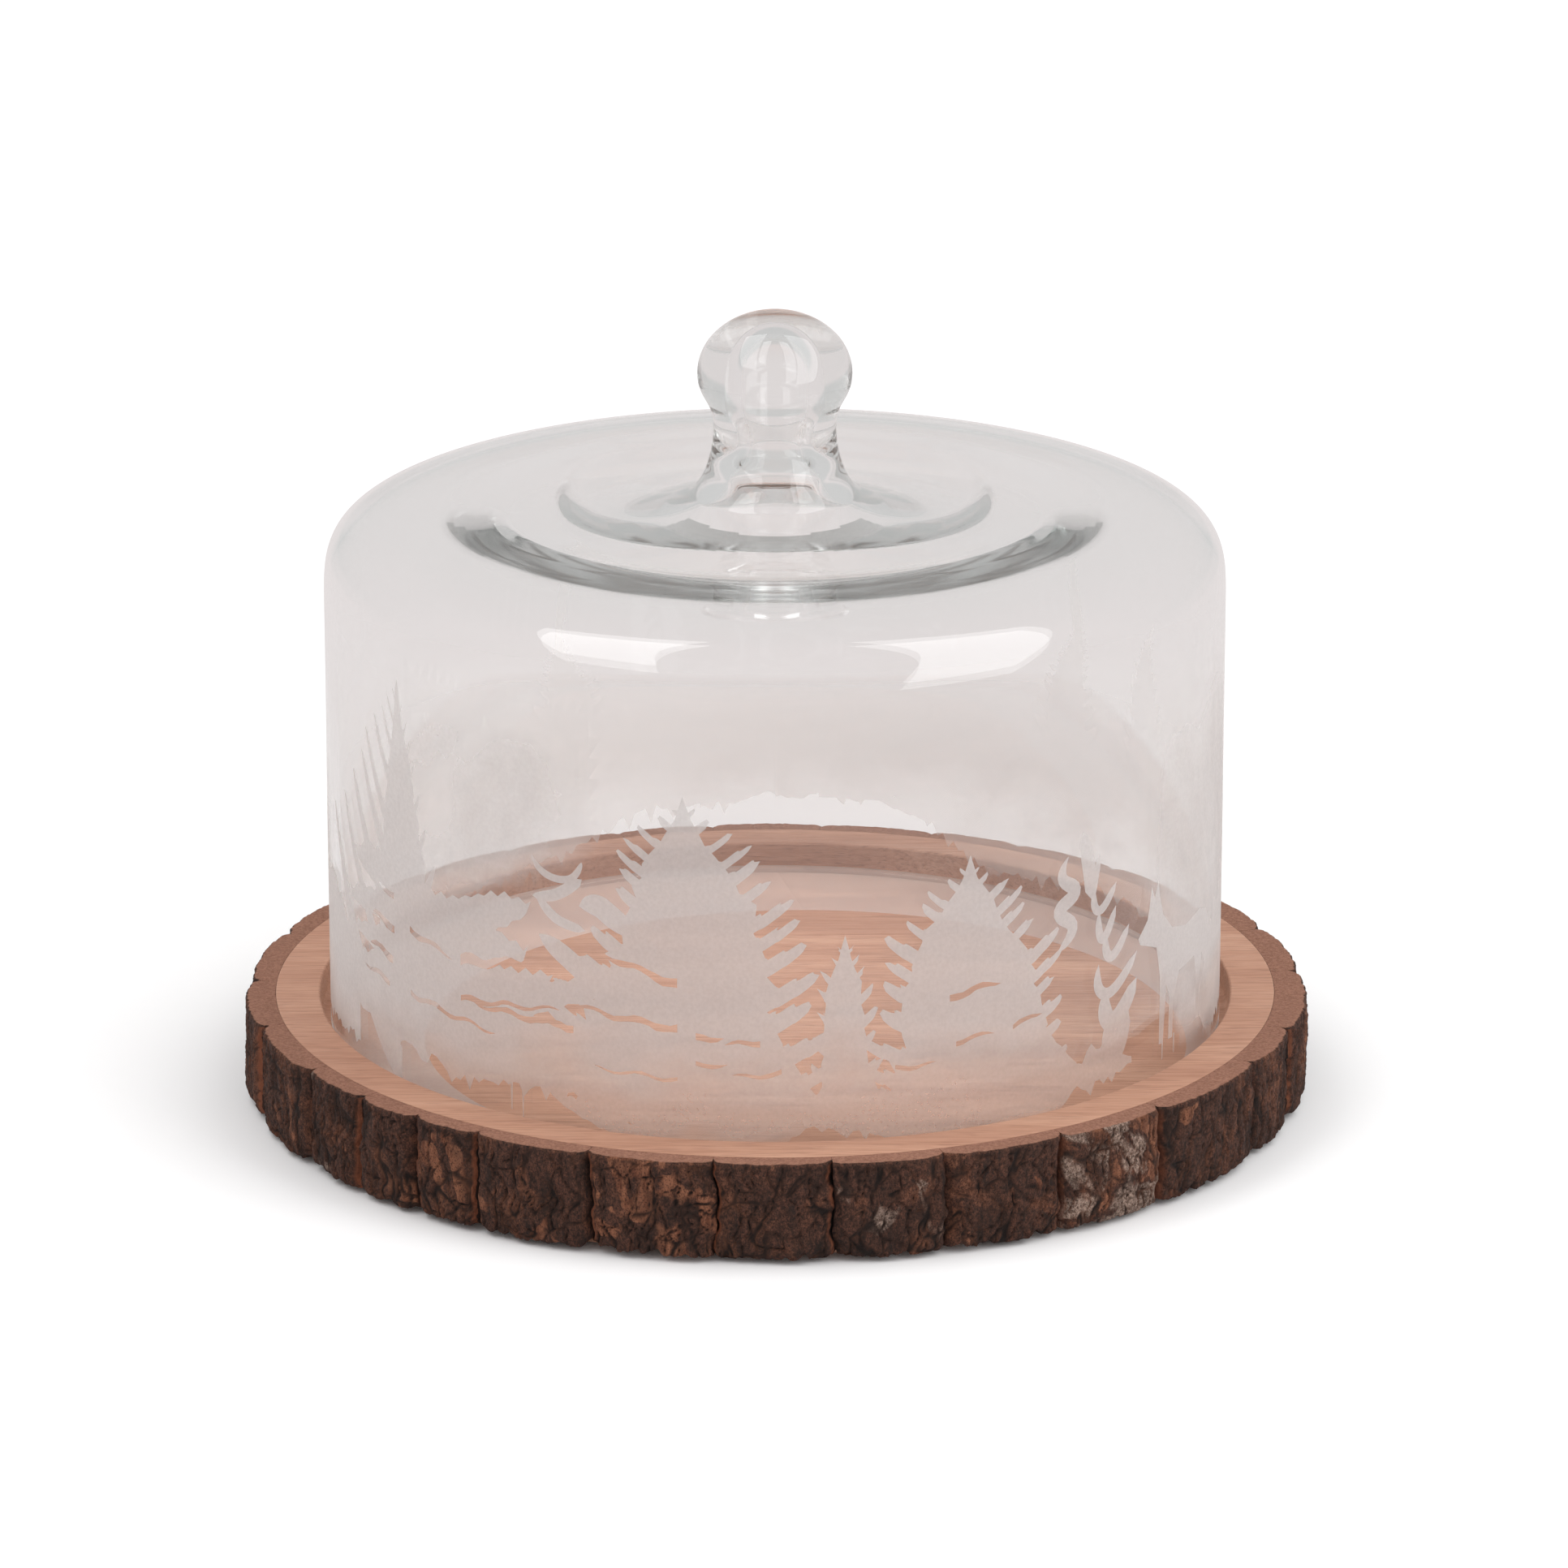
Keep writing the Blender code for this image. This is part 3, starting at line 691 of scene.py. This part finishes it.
BACK_FOOT = 30.0  # the print on the back begins at this height
BACK_RISE = 16.0  # and this much higher at the very back
CLEAR_BAND = (335.0, 375.0)  # between these arc lengths it rises
BACK_FADE = (56.0, 108.0)  # the print on the back fades out between these heights
BACK_FAINT = 0.52  # share of the print's cover that is gone above them
SPRAY_FADE = (70.0, 128.0)  # the spray between the trees on the back fades out between these heights
SPRAY_FOOT = 128.0  # height of the left spray's lower edge at the front
SPRAY_SLOPE = 0.42  # and how it falls towards the left
DEER_PLACE = (124.0, 36.0)
DEER_START = 116.0  # from here on the deer's side is printed more densely than the trees
DEER_STRENGTH = 1.15

# place, tip, foot, (share of the height from the tip, left reach, right reach) ..., spacing of the limbs,
# their slopes at the tip and the foot, the core's share of the reach left and right, size of the lobes
FRONT_FIRS = (
    (-124, 145.5, 56, ((0, 0, 0), (0.42, 26, 13), (0.8, 46, 22), (1, 46, 26)),
     9.5, (1.9, 1.2), (0.24, 0.7), 0.2),
    (-25.5, 127.5, 32, ((0, 0, 0), (0.06, 6, 7), (0.12, 14, 15), (0.20, 18, 20), (0.29, 18, 27),
                        (0.38, 23, 29), (0.46, 27, 35), (0.6, 36, 36), (1, 42, 44)),
     7.4, (0.62, 0.30), (0.72, 0.66), 1.0),
    (19.6, 87.5, 44, ((0, 0, 0), (0.12, 3, 3), (0.3, 8, 7), (0.6, 9, 9), (1, 11, 11)),
     6.6, (1.0, 0.6), (0.55, 0.55), 1.4),
    (56, 107.5, 30, ((0, 0, 0), (0.06, 5, 4), (0.11, 10, 10), (0.17, 15, 15), (0.22, 17, 15),
                     (0.31, 23, 21), (0.4, 24, 29), (0.5, 28, 31), (0.7, 30, 34), (1, 34, 36)),
     6.8, (0.65, 0.26), (0.70, 0.68), 1.0))
# Layers of the spreading tree on the left: start, end, top, foot, wave, climb
TIERS = ((-112, -73, 88, 74, 1.2, 11), (-118, -74, 84, 70, 1.2, 2), (-120, -66, 71, 58, 1.2, 7),
         (-128, -50, 69, 55, 1.2, 8), (-128, -30, 60, 46, 1.2, 4), (-124, -150, 94, 83, 0.8, 0),
         (-124, -156, 80, 72, 0.8, 0), (-124, -150, 70, 62, 0.8, 0), (-124, -158, 60, 52, 0.8, 0))
# Single limbs: their points, width
LEFT_BANDS = ((((-71, 107), (-70, 104), (-65, 101), (-59, 101), (-56, 104), (-55, 107)), 2.2),
              (((-71, 95), (-66, 95), (-60, 98), (-55, 102)), 3.4),
              (((-70, 96), (-66, 91), (-61, 88), (-54, 87)), 3.0),
              (((-69, 84), (-62, 80), (-54, 74), (-46, 68)), 6.0),
              (((-56, 94), (-51, 96), (-46, 92), (-40, 88)), 6.5))
RIGHT_BANDS = ((((89, 103), (84, 97), (94, 92), (83, 87), (94, 81), (85, 75)), 4.4),
               (((94, 109), (97, 99), (98, 88)), 5.0), (((101, 101), (99, 93), (98, 88)), 2.4))
# Hanging limbs: place, top, depth, reach, width
HOOKS = ((99, 91, 8, 9, 2.8), (101, 84, 10, 7, 3.0), (104, 77, 9, 10, 3.2), (101, 68, 11, 17, 3.6),
         (104, 60, 12, 14, 6.0), (106, 52, 14, 8, 7.0))
# Undergrowth: start, end, top, foot, wave
UNDERGROWTH = ((-164, -88, 60, 41, 2.0), (-112, -40, 58, 36, 2.5), (-44, 14, 54, 27, 2.0),
               (8, 36, 50, 28, 1.5), (30, 94, 56, 25, 2.5), (86, 116, 43, 31, 1.5),
               (158, 182, 62, 26, 3.0))
# Runs of the print down the glass: place, top, length
DRIPS = ((-74.6, 40, 12), (-78.5, 39, 9), (132, 37, 6), (139, 37, 6), (163, 30, 5))
# Gaps between the layers: start, end, height, thickness, slope
SLITS = ((-27.2, -50, 74.0, 2.8, 0.32), (-27.2, -58, 61.0, 2.4, 0.12), (-22.0, -14, 59.0, 2.4, 0.0),
         (-22.0, -13, 51.0, 1.8, 0.0), (-27.2, -52, 46.0, 1.2, 0.05), (-97, -72, 70.5, 3.4, 0.16),
         (-119, -100, 74.0, 2.0, -0.20), (-119, -84, 55.0, 1.8, -0.10), (-58, -92, 58.0, 2.4, 0.02),
         (-127, -136, 82.0, 2.2, 0.10), (-127, -140, 72.0, 2.8, 0.14), (-128, -142, 63.0, 2.6, 0.10),
         (-130, -146, 55.0, 1.8, 0.10), (-97, -62, 59.0, 1.8, 0.10), (50, 66, 68.0, 2.4, 0.16),
         (52, 64, 54.5, 1.6, 0.1), (34, 46, 49.0, 1.6, 0.0), (70, 80, 56.0, 1.6, 0.3),
         (-4, -14, 58.0, 1.8, -0.1), (2, -12, 49.0, 1.6, -0.1))
# Outline of a standing deer looking over its shoulder, about 50 mm tall
DEER = ((0, 43), (1.0, 49), (2.8, 45), (4.5, 50), (5.5, 45), (7.5, 39), (13, 33.5), (22, 31.5), (33, 33),
        (40, 31), (44, 24), (44.5, 14), (43, 0), (40.5, 0), (40, 13), (36, 19), (34, 12), (33.5, 0),
        (31, 0), (31, 13), (29, 20), (18, 19), (14.5, 12), (14.0, 0), (11.5, 0), (11.8, 13), (10, 17),
        (8.3, 0), (6.0, 0), (6.2, 20), (4.0, 30), (-4.5, 33), (-5.5, 35), (-1.0, 39.5))
# Trees on the back: place, tip, reach
BACK_FIRS = ((198, 92, 24), (222, 96, 22), (247, 88, 20), (272, 126, 20), (310, 133, 18), (336, 76, 20),
             (358, 78, 22), (384, 74, 20), (-386, 76, 20), (-362, 78, 20), (-342, 124, 19), (-310, 82, 22),
             (-282, 90, 24), (-254, 84, 22), (-228, 90, 24), (-200, 92, 24))


def limb(root, length, rise, curl, thick, side, lobes, rng):
    """A leafy limb: it leaves the trunk at a slope, curls up and ends blunt, with lobes along both edges."""
    steps = max(6, round(length / LIMB_STEP))
    edges = []
    turn = rng.uniform(0, 2 * math.pi)
    for step in range(steps + 1):
        share = step / steps
        blunt = math.sqrt(1 - share ** 8)
        body = 0.5 * thick * (1 - 0.22 * share) * blunt
        lobe = lobes * blunt * (0.2 + share) * (1.1 * math.sin(2 * math.pi * length * share / LOBE + turn)
                                                + rng.uniform(-0.35, 0.35))
        x = root[0] + side * length * share
        z = root[1] + length * (rise * share + curl * share ** 2.5)
        edges.append(((x + side * 0.9 * lobe, z + body + 0.9 * lobe),
                      (x + side * 0.5 * lobe, z - body + 0.45 * lobe)))
    return between(edges)


def half_width(reach, down, side):
    """How far a fir's limbs reach on one side at a share of its height from the tip."""
    column = 1 if side < 0 else 2
    for first, second in zip(reach, reach[1:]):
        if down <= second[0]:
            return lerp(first[column], second[column], (down - first[0]) / (second[0] - first[0]))
    return reach[-1][column]


def fir(rng, place, tip, foot, reach, spacing, slopes, core, lobes):
    """A fir: a jagged core and limbs on its sides, upright at the top and level at the foot."""
    height = tip - foot
    trunk = [(place, tip + 1.5)]
    for side in (1, -1):
        edge = []
        z = tip - 2.0
        while z > foot:
            down = (tip - z) / height
            wide = core[side > 0] * min(1.0, CORE_TIP + CORE_GROWTH * down) * half_width(reach, down, side)
            edge.append((place + side * (TRUNK + wide * rng.uniform(0.86, 1.1)), z))
            z -= CORE_STEP
        edge.append((place + side * (TRUNK + wide), foot))
        trunk += edge[::side]
    shapes = [trunk]
    for side in (-1, 1):
        z = tip - 3.0
        while z > foot:
            down = (tip - z) / height
            gap = spacing * (0.42 + 0.70 * min(1.0, 2.2 * down)) * rng.uniform(0.85, 1.15)
            length = half_width(reach, down, side) * rng.uniform(0.88, 1.12)
            rise = lerp(*slopes, min(1.0, 1.25 * down))
            thick = min(gap * rng.uniform(0.70, 0.90), 0.5 + 0.4 * length)
            if length > 1.5:
                root = (place, z - rise * length * 0.75)
                shapes.append(limb(root, length, rise * 0.72, rise * 0.35, thick, side, lobes, rng))
            z -= gap
    return shapes


def band(points, width):
    """A smooth curved stroke along a line of points, full width in its middle and blunt at its ends."""
    line = [Vector(point).to_3d() for point in points]
    path = []
    for first, second, third in zip(line, line[1:], line[2:]):
        start = first if not path else (first + second) / 2
        end = third if third is line[-1] else (second + third) / 2
        path += interpolate_bezier(start, (start + 2 * second) / 3, (end + 2 * second) / 3, end, BAND_STEPS)
    left = []
    right = []
    for index, point in enumerate(path[1:-1], 1):
        along = (path[index + 1] - path[index - 1]).to_2d().normalized()
        half = 0.5 * width * (1 - abs(2 * index / len(path) - 1) ** BAND_BLUNT)
        left.append((point.x - half * along.y, point.y + half * along.x))
        right.append((point.x + half * along.y, point.y - half * along.x))
    return [tuple(path[0].xy), *left, tuple(path[-1].xy), *reversed(right)]


def hook(x, z, depth, reach, width):
    """A hanging limb that drops from the trunk and curls up at its end like a hook."""
    low = z - depth
    return band([(x, z), (x - 0.1 * reach, z - 0.7 * depth), (x + 0.4 * reach, low), (x + reach, z)], width)


def tier(rng, start, end, top, foot, wave, climb):
    """One wide layer of a spreading tree: wavy above, flatter below, tapering to an end that may climb."""
    upper = []
    lower = []
    steps = max(4, round(abs(end - start) / TOOTH))
    turn = rng.uniform(0, 6)
    for step in range(steps + 1):
        share = step / steps
        x = lerp(start, end, share)
        droop = wave * math.sin(0.16 * abs(x - start) + turn) + climb * share ** 2
        taper = 0.5 * (top - foot) * share ** 3
        lobe = rng.uniform(0.4, 2.2) if step % 2 else 0.0
        upper.append((x, top + droop - taper + lobe))
        lower.append((x + 0.4 * lobe, foot + droop + 0.6 * taper - 0.4 * lobe))
    return [*upper, (end + math.copysign(1.6, end - start), (top + foot) / 2 + 1.0 + climb), *reversed(lower)]


def slit(rng, start, end, height, thick, slope):
    """A gap between layers: blunt where it meets the trunk, ragged and pointed at its other end."""
    edges = []
    steps = max(4, round(abs(end - start) / SLIT_STEP))
    for step in range(steps + 1):
        share = step / steps
        x = lerp(start, end, share)
        z = height + slope * abs(x - start) + 0.7 * math.sin(0.45 * x)
        body = thick * (1 - share) ** 0.4
        edges.append(((x, z + body * rng.uniform(0.35, 0.6)), (x, z - body * rng.uniform(0.35, 0.6))))
    return between(edges)


def rear_rise(place):
    """How much higher the print begins at the very back of the bell."""
    return BACK_RISE * smoothstep(*CLEAR_BAND, abs(place))


def undergrowth(rng, start, end, top, foot, wave, taper=True):
    """The ground where the trees merge, with a wavy upper edge and a ragged, streaky lower one."""
    edges = []
    steps = round((end - start) / GROUND_STEP)
    middle = foot + 0.35 * (top - foot)
    for step in range(steps + 1):
        x = start + (end - start) * step / steps
        full = min(1.0, 0.15 + min(x - start, end - x) / 14.0) if taper else 1.0
        high = top + wave * math.sin(0.13 * x) + rng.uniform(-1.8, 1.8)
        streak = rng.uniform(1.0, 4.0) if rng.random() < 0.25 else 0.0
        low = foot + rear_rise(x) + 2.2 * math.sin(0.07 * x) + rng.uniform(-1.2, 1.2) - streak
        edges.append(((x, lerp(middle, high, full)), (x, lerp(middle, low, full))))
    return between(edges)


def drip(place, top, length):
    foot = top - length
    return [(place - 0.45, top), (place + 0.45, top), (place + 0.2, foot), (place - 0.2, foot)]


def front_woodland(rng):
    """The trees and the deer on the front half, from left to right: what is printed and what is left out."""
    tall_fir, *firs = FRONT_FIRS
    shapes = fir(rng, *tall_fir)
    shapes += [tier(rng, *layer) for layer in TIERS]
    shapes += [band(*stroke) for stroke in LEFT_BANDS]
    for tree in firs:
        shapes += fir(rng, *tree)
    shapes += [band(*stroke) for stroke in RIGHT_BANDS]
    shapes += [hook(*hanging) for hanging in HOOKS]
    shapes.append([(DEER_PLACE[0] + x, DEER_PLACE[1] + z) for x, z in DEER])
    shapes += [undergrowth(rng, *stretch) for stretch in UNDERGROWTH]
    shapes += [drip(*run) for run in DRIPS]
    return shapes, [slit(rng, *gap) for gap in SLITS]


def back_woodland(rng):
    """The trees on the back half, which stand closer together."""
    shapes = []
    for place, tip, reach in BACK_FIRS:
        spread = ((0, 0, 0), (0.4, 0.55 * reach, 0.5 * reach), (1, reach, reach))
        shapes += fir(rng, place, tip, BACK_TREE_FOOT, spread, 5.4, (0.9, 0.25), (0.6, 0.6), 1.0)
    for start, end in ((-HALF_TURN, -150), (172, HALF_TURN)):
        shapes.append(undergrowth(rng, start, end, 70, BACK_FOOT, 4.0, taper=False))
    return shapes


def foot_cover(_place, _height):
    return FOOT_COVER


def print_cover(place, height):
    """How much of the glass the print hides: thin towards the foot and towards the tops of the back trees."""
    cloud = noise.fractal(Vector((0.035 * place, 0.06 * height, 1.0)), 0.8, 2.0, 3)
    # The block of trees on the left is dense further down
    dense = 13.0 * smoothstep(-60.0, -105.0, place) * smoothstep(-200.0, -170.0, place)
    full = 0.32 + 0.39 * smoothstep(38.0, 64.0, height + 9.0 * cloud + dense)
    full *= smoothstep(22.0, 32.0, height + 6.0 * cloud + dense)
    if abs(place) > BACK_START:
        full *= 1 - BACK_FAINT * smoothstep(*BACK_FADE, height)
    elif place > DEER_START:
        full *= DEER_STRENGTH
    return full


def spray_cover(place, height):
    """How thick the soft spray is: a veil beside the trees left and right, and all round the back."""
    cloud = noise.fractal(Vector((0.03 * place, 0.03 * height, 7.0)), 0.8, 2.0, 4)
    left = smoothstep(-50.0, -56.0, place) * smoothstep(-190.0, -165.0, place)
    left *= 0.2 + 0.8 * smoothstep(-128.0, -108.0, place)
    low = SPRAY_FOOT + SPRAY_SLOPE * place
    left *= smoothstep(156.0, 120.0, height) * smoothstep(low, low + 9.0, height)
    right = smoothstep(112.0, 142.0, place) * smoothstep(205.0, 180.0, place)
    low = 84.0 - 54.0 * smoothstep(116.0, 145.0, place)
    right *= smoothstep(152.0, 112.0, height) * smoothstep(low, low + 12.0, height)
    front = max(left * min(0.7, max(0.0, 0.48 + 0.45 * cloud)), right * min(0.7, 0.50 + 0.3 * cloud))
    back = smoothstep(BACK_START - 15.0, BACK_START + 15.0, abs(place))
    if back == 0.0:
        return front
    low = BACK_FOOT + rear_rise(place)
    back *= smoothstep(low, low + 8.0, height) * (1 - smoothstep(*SPRAY_FADE, height))
    return max(front, back * print_cover(place, height))


def winds_round(outline, points):
    """Which of the points an outline winds round."""
    outline = np.array(outline)
    near = np.all((points >= outline.min(axis=0)) & (points <= outline.max(axis=0)), axis=1)
    turns = np.zeros(len(points), dtype=int)
    x, y = points[near].T
    found = np.zeros(len(x), dtype=int)
    for (x0, y0), (x1, y1) in zip(outline, np.roll(outline, -1, axis=0)):
        left = (x1 - x0) * (y - y0) - (x - x0) * (y1 - y0) > 0
        found += (y0 <= y) & (y1 > y) & left
        found -= (y0 > y) & (y1 <= y) & ~left
    turns[near] = found
    return turns != 0


def frost_grid():
    """Upright and level lines that cut the print so that it can bend, as end points."""
    low, ground = GROUND_FOOT
    lines = []
    for column in range(FROST_COLUMNS + 1):
        x = HALF_TURN * (2 * column / FROST_COLUMNS - 1)
        lines.append(((x, low), (x, FROST_TOP)))
    heights = [low, ground]
    while heights[-1] < FROST_TOP - FROST_ROW:
        heights.append(heights[-1] + FROST_ROW)
    lines += [((-HALF_TURN, height), (HALF_TURN, height)) for height in heights]
    return lines


def frost_covers(flat, triangles, outlines, gaps):
    """For each triangle the rule that gives its cover: matt foot, print, spray, or None for clear glass."""
    centres = flat[np.array(triangles)].mean(axis=1)
    printed = np.zeros(len(triangles), dtype=bool)
    for outline in outlines:
        printed |= winds_round(outline, centres)
    for outline in gaps:
        printed &= ~winds_round(outline, centres)
    rules = []
    for (place, height), inside in zip(centres, printed):
        if height < GROUND_FOOT[1]:
            rules.append(foot_cover)
        elif inside:
            rules.append(print_cover)
        else:
            rules.append(spray_cover if spray_cover(place, height) > 0.01 else None)
    return rules


def frost_mesh():
    """All the shapes merged to one layer of triangles round the bell, with their cover at every corner."""
    rng = random.Random(42)
    printed, gaps = front_woodland(rng)
    printed += back_woodland(rng)
    verts = []
    edges = []
    for outline in [*printed, *gaps]:
        first = len(verts)
        verts += [Vector(point) for point in outline]
        edges += [(index, index + 1) for index in range(first, len(verts) - 1)]
        edges.append((len(verts) - 1, first))
    for start, end in frost_grid():
        edges.append((len(verts), len(verts) + 1))
        verts += [Vector(start), Vector(end)]
    points, _, triangles, *_ = delaunay_2d_cdt(verts, edges, [], 0, CUT_REACH)
    flat = np.array([tuple(point) for point in points])
    shape = bmesh.new()
    cover_layer = shape.verts.layers.float.new("cover")
    made = {}
    for triangle, rule in zip(triangles, frost_covers(flat, triangles, printed, gaps)):
        if rule is None:
            continue
        corners = []
        for index in triangle:
            if (index, rule) not in made:
                place, height = points[index]
                angle = place / 1000 / BELL_RADIUS
                vert = shape.verts.new((FROST_RADIUS * math.sin(angle), -FROST_RADIUS * math.cos(angle),
                                        height / 1000))
                vert[cover_layer] = rule(place, height)
                made[index, rule] = vert
            corners.append(made[index, rule])
        shape.faces.new(corners)
    return finished_mesh("frost", shape, closed=False)


FROST = ((0.35, (0.720, 0.690, 0.678)), (0.65, (0.780, 0.750, 0.738)))
# Painted light: the same print is painted lighter on the back half of the bell
BACK_FROST_PAINTED_LIGHTER = (0.93, 0.905, 0.895)
BACK_FROST_DEPTH = (-0.02, 0.05)  # from the front's frost colour to the back's painted lighter one, along Y
THROUGH = 0.45  # share of the light on the frost that goes through it


def frost_material():
    """Matt frost that hides more where it is seen at a slant, painted lighter towards the back."""
    nodes = Nodes(bpy.data.materials.new("frost_print"))
    cover = nodes.add("Attribute", attribute_name="cover").outputs["Fac"]
    grazing = nodes.add("LayerWeight", {"Blend": 0.35}).outputs["Facing"]
    slant = nodes.math("MULTIPLY", nodes.math("POWER", grazing, 2.0), 0.8)
    cover = nodes.math("MULTIPLY", cover, nodes.math("ADD", slant, 1.0), clamped=True)
    near = nodes.ramp(nodes.noise(nodes.place(), 900.0, 3.0, 0.6), FROST)
    # painted light: the frost is painted lighter towards the back
    far = nodes.span(nodes.axis(nodes.place(), "Y"), *BACK_FROST_DEPTH)
    colour = nodes.mix(far, near, BACK_FROST_PAINTED_LIGHTER)
    front = nodes.add("BsdfDiffuse", {"Color": colour})
    through = nodes.add("BsdfTranslucent", {"Color": colour})
    frost = nodes.mix_shader(THROUGH, front, through)
    return nodes.finish(nodes.mix_shader(cover, nodes.add("BsdfTransparent"), frost))


def make_frost():
    mesh = frost_mesh()
    new_object("frosted_woodland", mesh, "dome")
    mesh.materials.append(frost_material())


# Pads

def make_pads():
    nodes = Nodes(bpy.data.materials.new("pad_rubber"))
    speck = nodes.noise(nodes.place(), 1500.0, 3.0, 0.6)
    colour = nodes.ramp(speck, ((0.3, (0.02, 0.02, 0.02)), (0.7, (0.045, 0.044, 0.042))))
    rubber = nodes.finish(nodes.add("BsdfPrincipled", {"Base Color": colour, "Roughness": 0.85,
                                                       "Normal": nodes.bump(speck, 0.0001)}))
    for name in PADS:
        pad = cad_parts[name]
        pad.data.materials.clear()
        pad.data.materials.append(rubber)


# Stage: floor, world, lights and camera

BACKDROP = (0.80, 0.755, 0.75)  # the backdrop as the glass and the light see it
DIM_BACK = (0.66, 0.66, 0.655)  # and its dimmer upper part behind the object
DIM_SIDES = (0.1, 0.5)  # from here to here along Y, and below along Z, it grows dim
DIM_FOOT = (0.0, 0.06)
SEEN_FLOOR = (0.955, 0.965, 0.97)
LIT_FLOOR = (0.76, 0.745, 0.745)
FLOOR_FADE = (0.26, 0.55)  # distances between which the floor fades into the backdrop
WHITE_OUT = 1.1  # strength that the camera sees as plain white
SOFTBOX_STEPS = 12
SOFTBOX_DISTANCE = 1.4
SOFTBOX_CENTRE = Vector((0.0, 0.0, 0.15))
# Strength, then directions of the corners from the centre: top pair, bottom pair
SOFTBOXES = {
    "softbox_left": (3.2, (-0.41, 0.315, 0.86), (-0.11, 0.27, 0.96),
                     (-0.43, -0.72, 0.55), (-0.715, -0.435, 0.56)),
    "softbox_right": (3.0, (0.48, 0.27, 0.83), (0.13, 0.24, 0.96), (0.50, -0.87, 0.04), (0.855, -0.51, 0.08))}
CAMERA_PITCH = 17.889
CAMERA_DISTANCE = 2.4
CAMERA_RISE = 0.08696
CAMERA_SIDE = 0.00263
CAMERA_LENS = 186.67
CAMERA_SENSOR = 36.0


def is_camera(nodes):
    return nodes.add("LightPath").outputs["Is Camera Ray"]


def make_floor():
    """A pale floor that fades into an even backdrop, white to the eye and light grey to the glass."""
    bpy.ops.mesh.primitive_plane_add(size=40.0, location=(0.0, 0.0, 0.0))
    floor = bpy.context.active_object
    floor.name = "floor"
    nodes = Nodes(bpy.data.materials.new("pale_floor"))
    near = nodes.mix_shader(is_camera(nodes), nodes.add("BsdfDiffuse", {"Color": LIT_FLOOR}),
                            nodes.add("BsdfDiffuse", {"Color": SEEN_FLOOR}))
    far = nodes.mix_shader(is_camera(nodes), nodes.add("Emission", {"Color": BACKDROP}),
                           nodes.add("Emission", {"Color": 1.0, "Strength": WHITE_OUT}))
    away = nodes.add("VectorMath", {0: nodes.place()}, operation="LENGTH").outputs["Value"]
    share = nodes.span(away, *FLOOR_FADE, interpolation_type="SMOOTHSTEP")
    floor.data.materials.append(nodes.finish(nodes.mix_shader(share, near, far)))


def make_world():
    """An even surround: white to the eye, and for the glass and the light grey, dimmer behind the object."""
    world = bpy.data.worlds.new("studio")
    bpy.context.scene.world = world
    nodes = Nodes(world, "OutputWorld")
    view = nodes.add("TexCoord").outputs["Generated"]
    dim = nodes.math("MULTIPLY", nodes.span(nodes.axis(view, "Y"), *DIM_SIDES),
                     nodes.span(nodes.axis(view, "Z"), *DIM_FOOT))
    lit = nodes.add("Background", {"Color": nodes.mix(dim, BACKDROP, DIM_BACK)})
    seen = nodes.add("Background", {"Color": 1.0, "Strength": WHITE_OUT})
    nodes.finish(nodes.mix_shader(is_camera(nodes), lit, seen))


def softbox(name, strength, top_start, top_end, foot_end, foot_start):
    """A glowing patch of a ball round the glass between four directions, seen only in reflections."""
    shape = bmesh.new()
    grid = []
    for row in range(SOFTBOX_STEPS + 1):
        start = Vector(top_start).lerp(Vector(foot_start), row / SOFTBOX_STEPS)
        end = Vector(top_end).lerp(Vector(foot_end), row / SOFTBOX_STEPS)
        line = [start.lerp(end, column / SOFTBOX_STEPS).normalized() for column in range(SOFTBOX_STEPS + 1)]
        grid.append([shape.verts.new(point * SOFTBOX_DISTANCE + SOFTBOX_CENTRE) for point in line])
    for first, second in zip(grid, grid[1:]):
        for index in range(SOFTBOX_STEPS):
            shape.faces.new((first[index], first[index + 1], second[index + 1], second[index]))
    box = bpy.data.objects.new(name, finished_mesh(name, shape, closed=False))
    box.visible_camera = False
    nodes = Nodes(bpy.data.materials.new(name))
    box.data.materials.append(nodes.finish(nodes.add("Emission", {"Strength": strength})))
    bpy.context.collection.objects.link(box)


def make_lights():
    for name, (strength, *corners) in SOFTBOXES.items():
        softbox(name, strength, *corners)


def make_camera():
    camera = bpy.data.objects.new("camera", bpy.data.cameras.new("camera"))
    camera.data.lens = CAMERA_LENS
    camera.data.sensor_width = CAMERA_SENSOR
    pitch = math.radians(CAMERA_PITCH)
    back = Vector((0.0, -math.cos(pitch), math.sin(pitch)))
    up = Vector((0.0, math.sin(pitch), math.cos(pitch)))
    camera.location = back * CAMERA_DISTANCE + up * CAMERA_RISE + Vector((CAMERA_SIDE, 0.0, 0.0))
    camera.rotation_euler = (math.pi / 2 - pitch, 0.0, 0.0)
    bpy.context.collection.objects.link(camera)
    bpy.context.scene.camera = camera


def set_view():
    """Plain colours, and enough bounces for light to pass the bell's many walls."""
    scene = bpy.context.scene
    scene.view_settings.view_transform = "Standard"
    scene.cycles.transparent_max_bounces = 24
    scene.cycles.transmission_bounces = 32
    scene.cycles.glossy_bounces = 64
    scene.cycles.max_bounces = 72


make_camera()
make_floor()
make_world()
make_lights()
set_view()
make_planks()
make_bark()
make_pads()
make_glass()
make_frost()
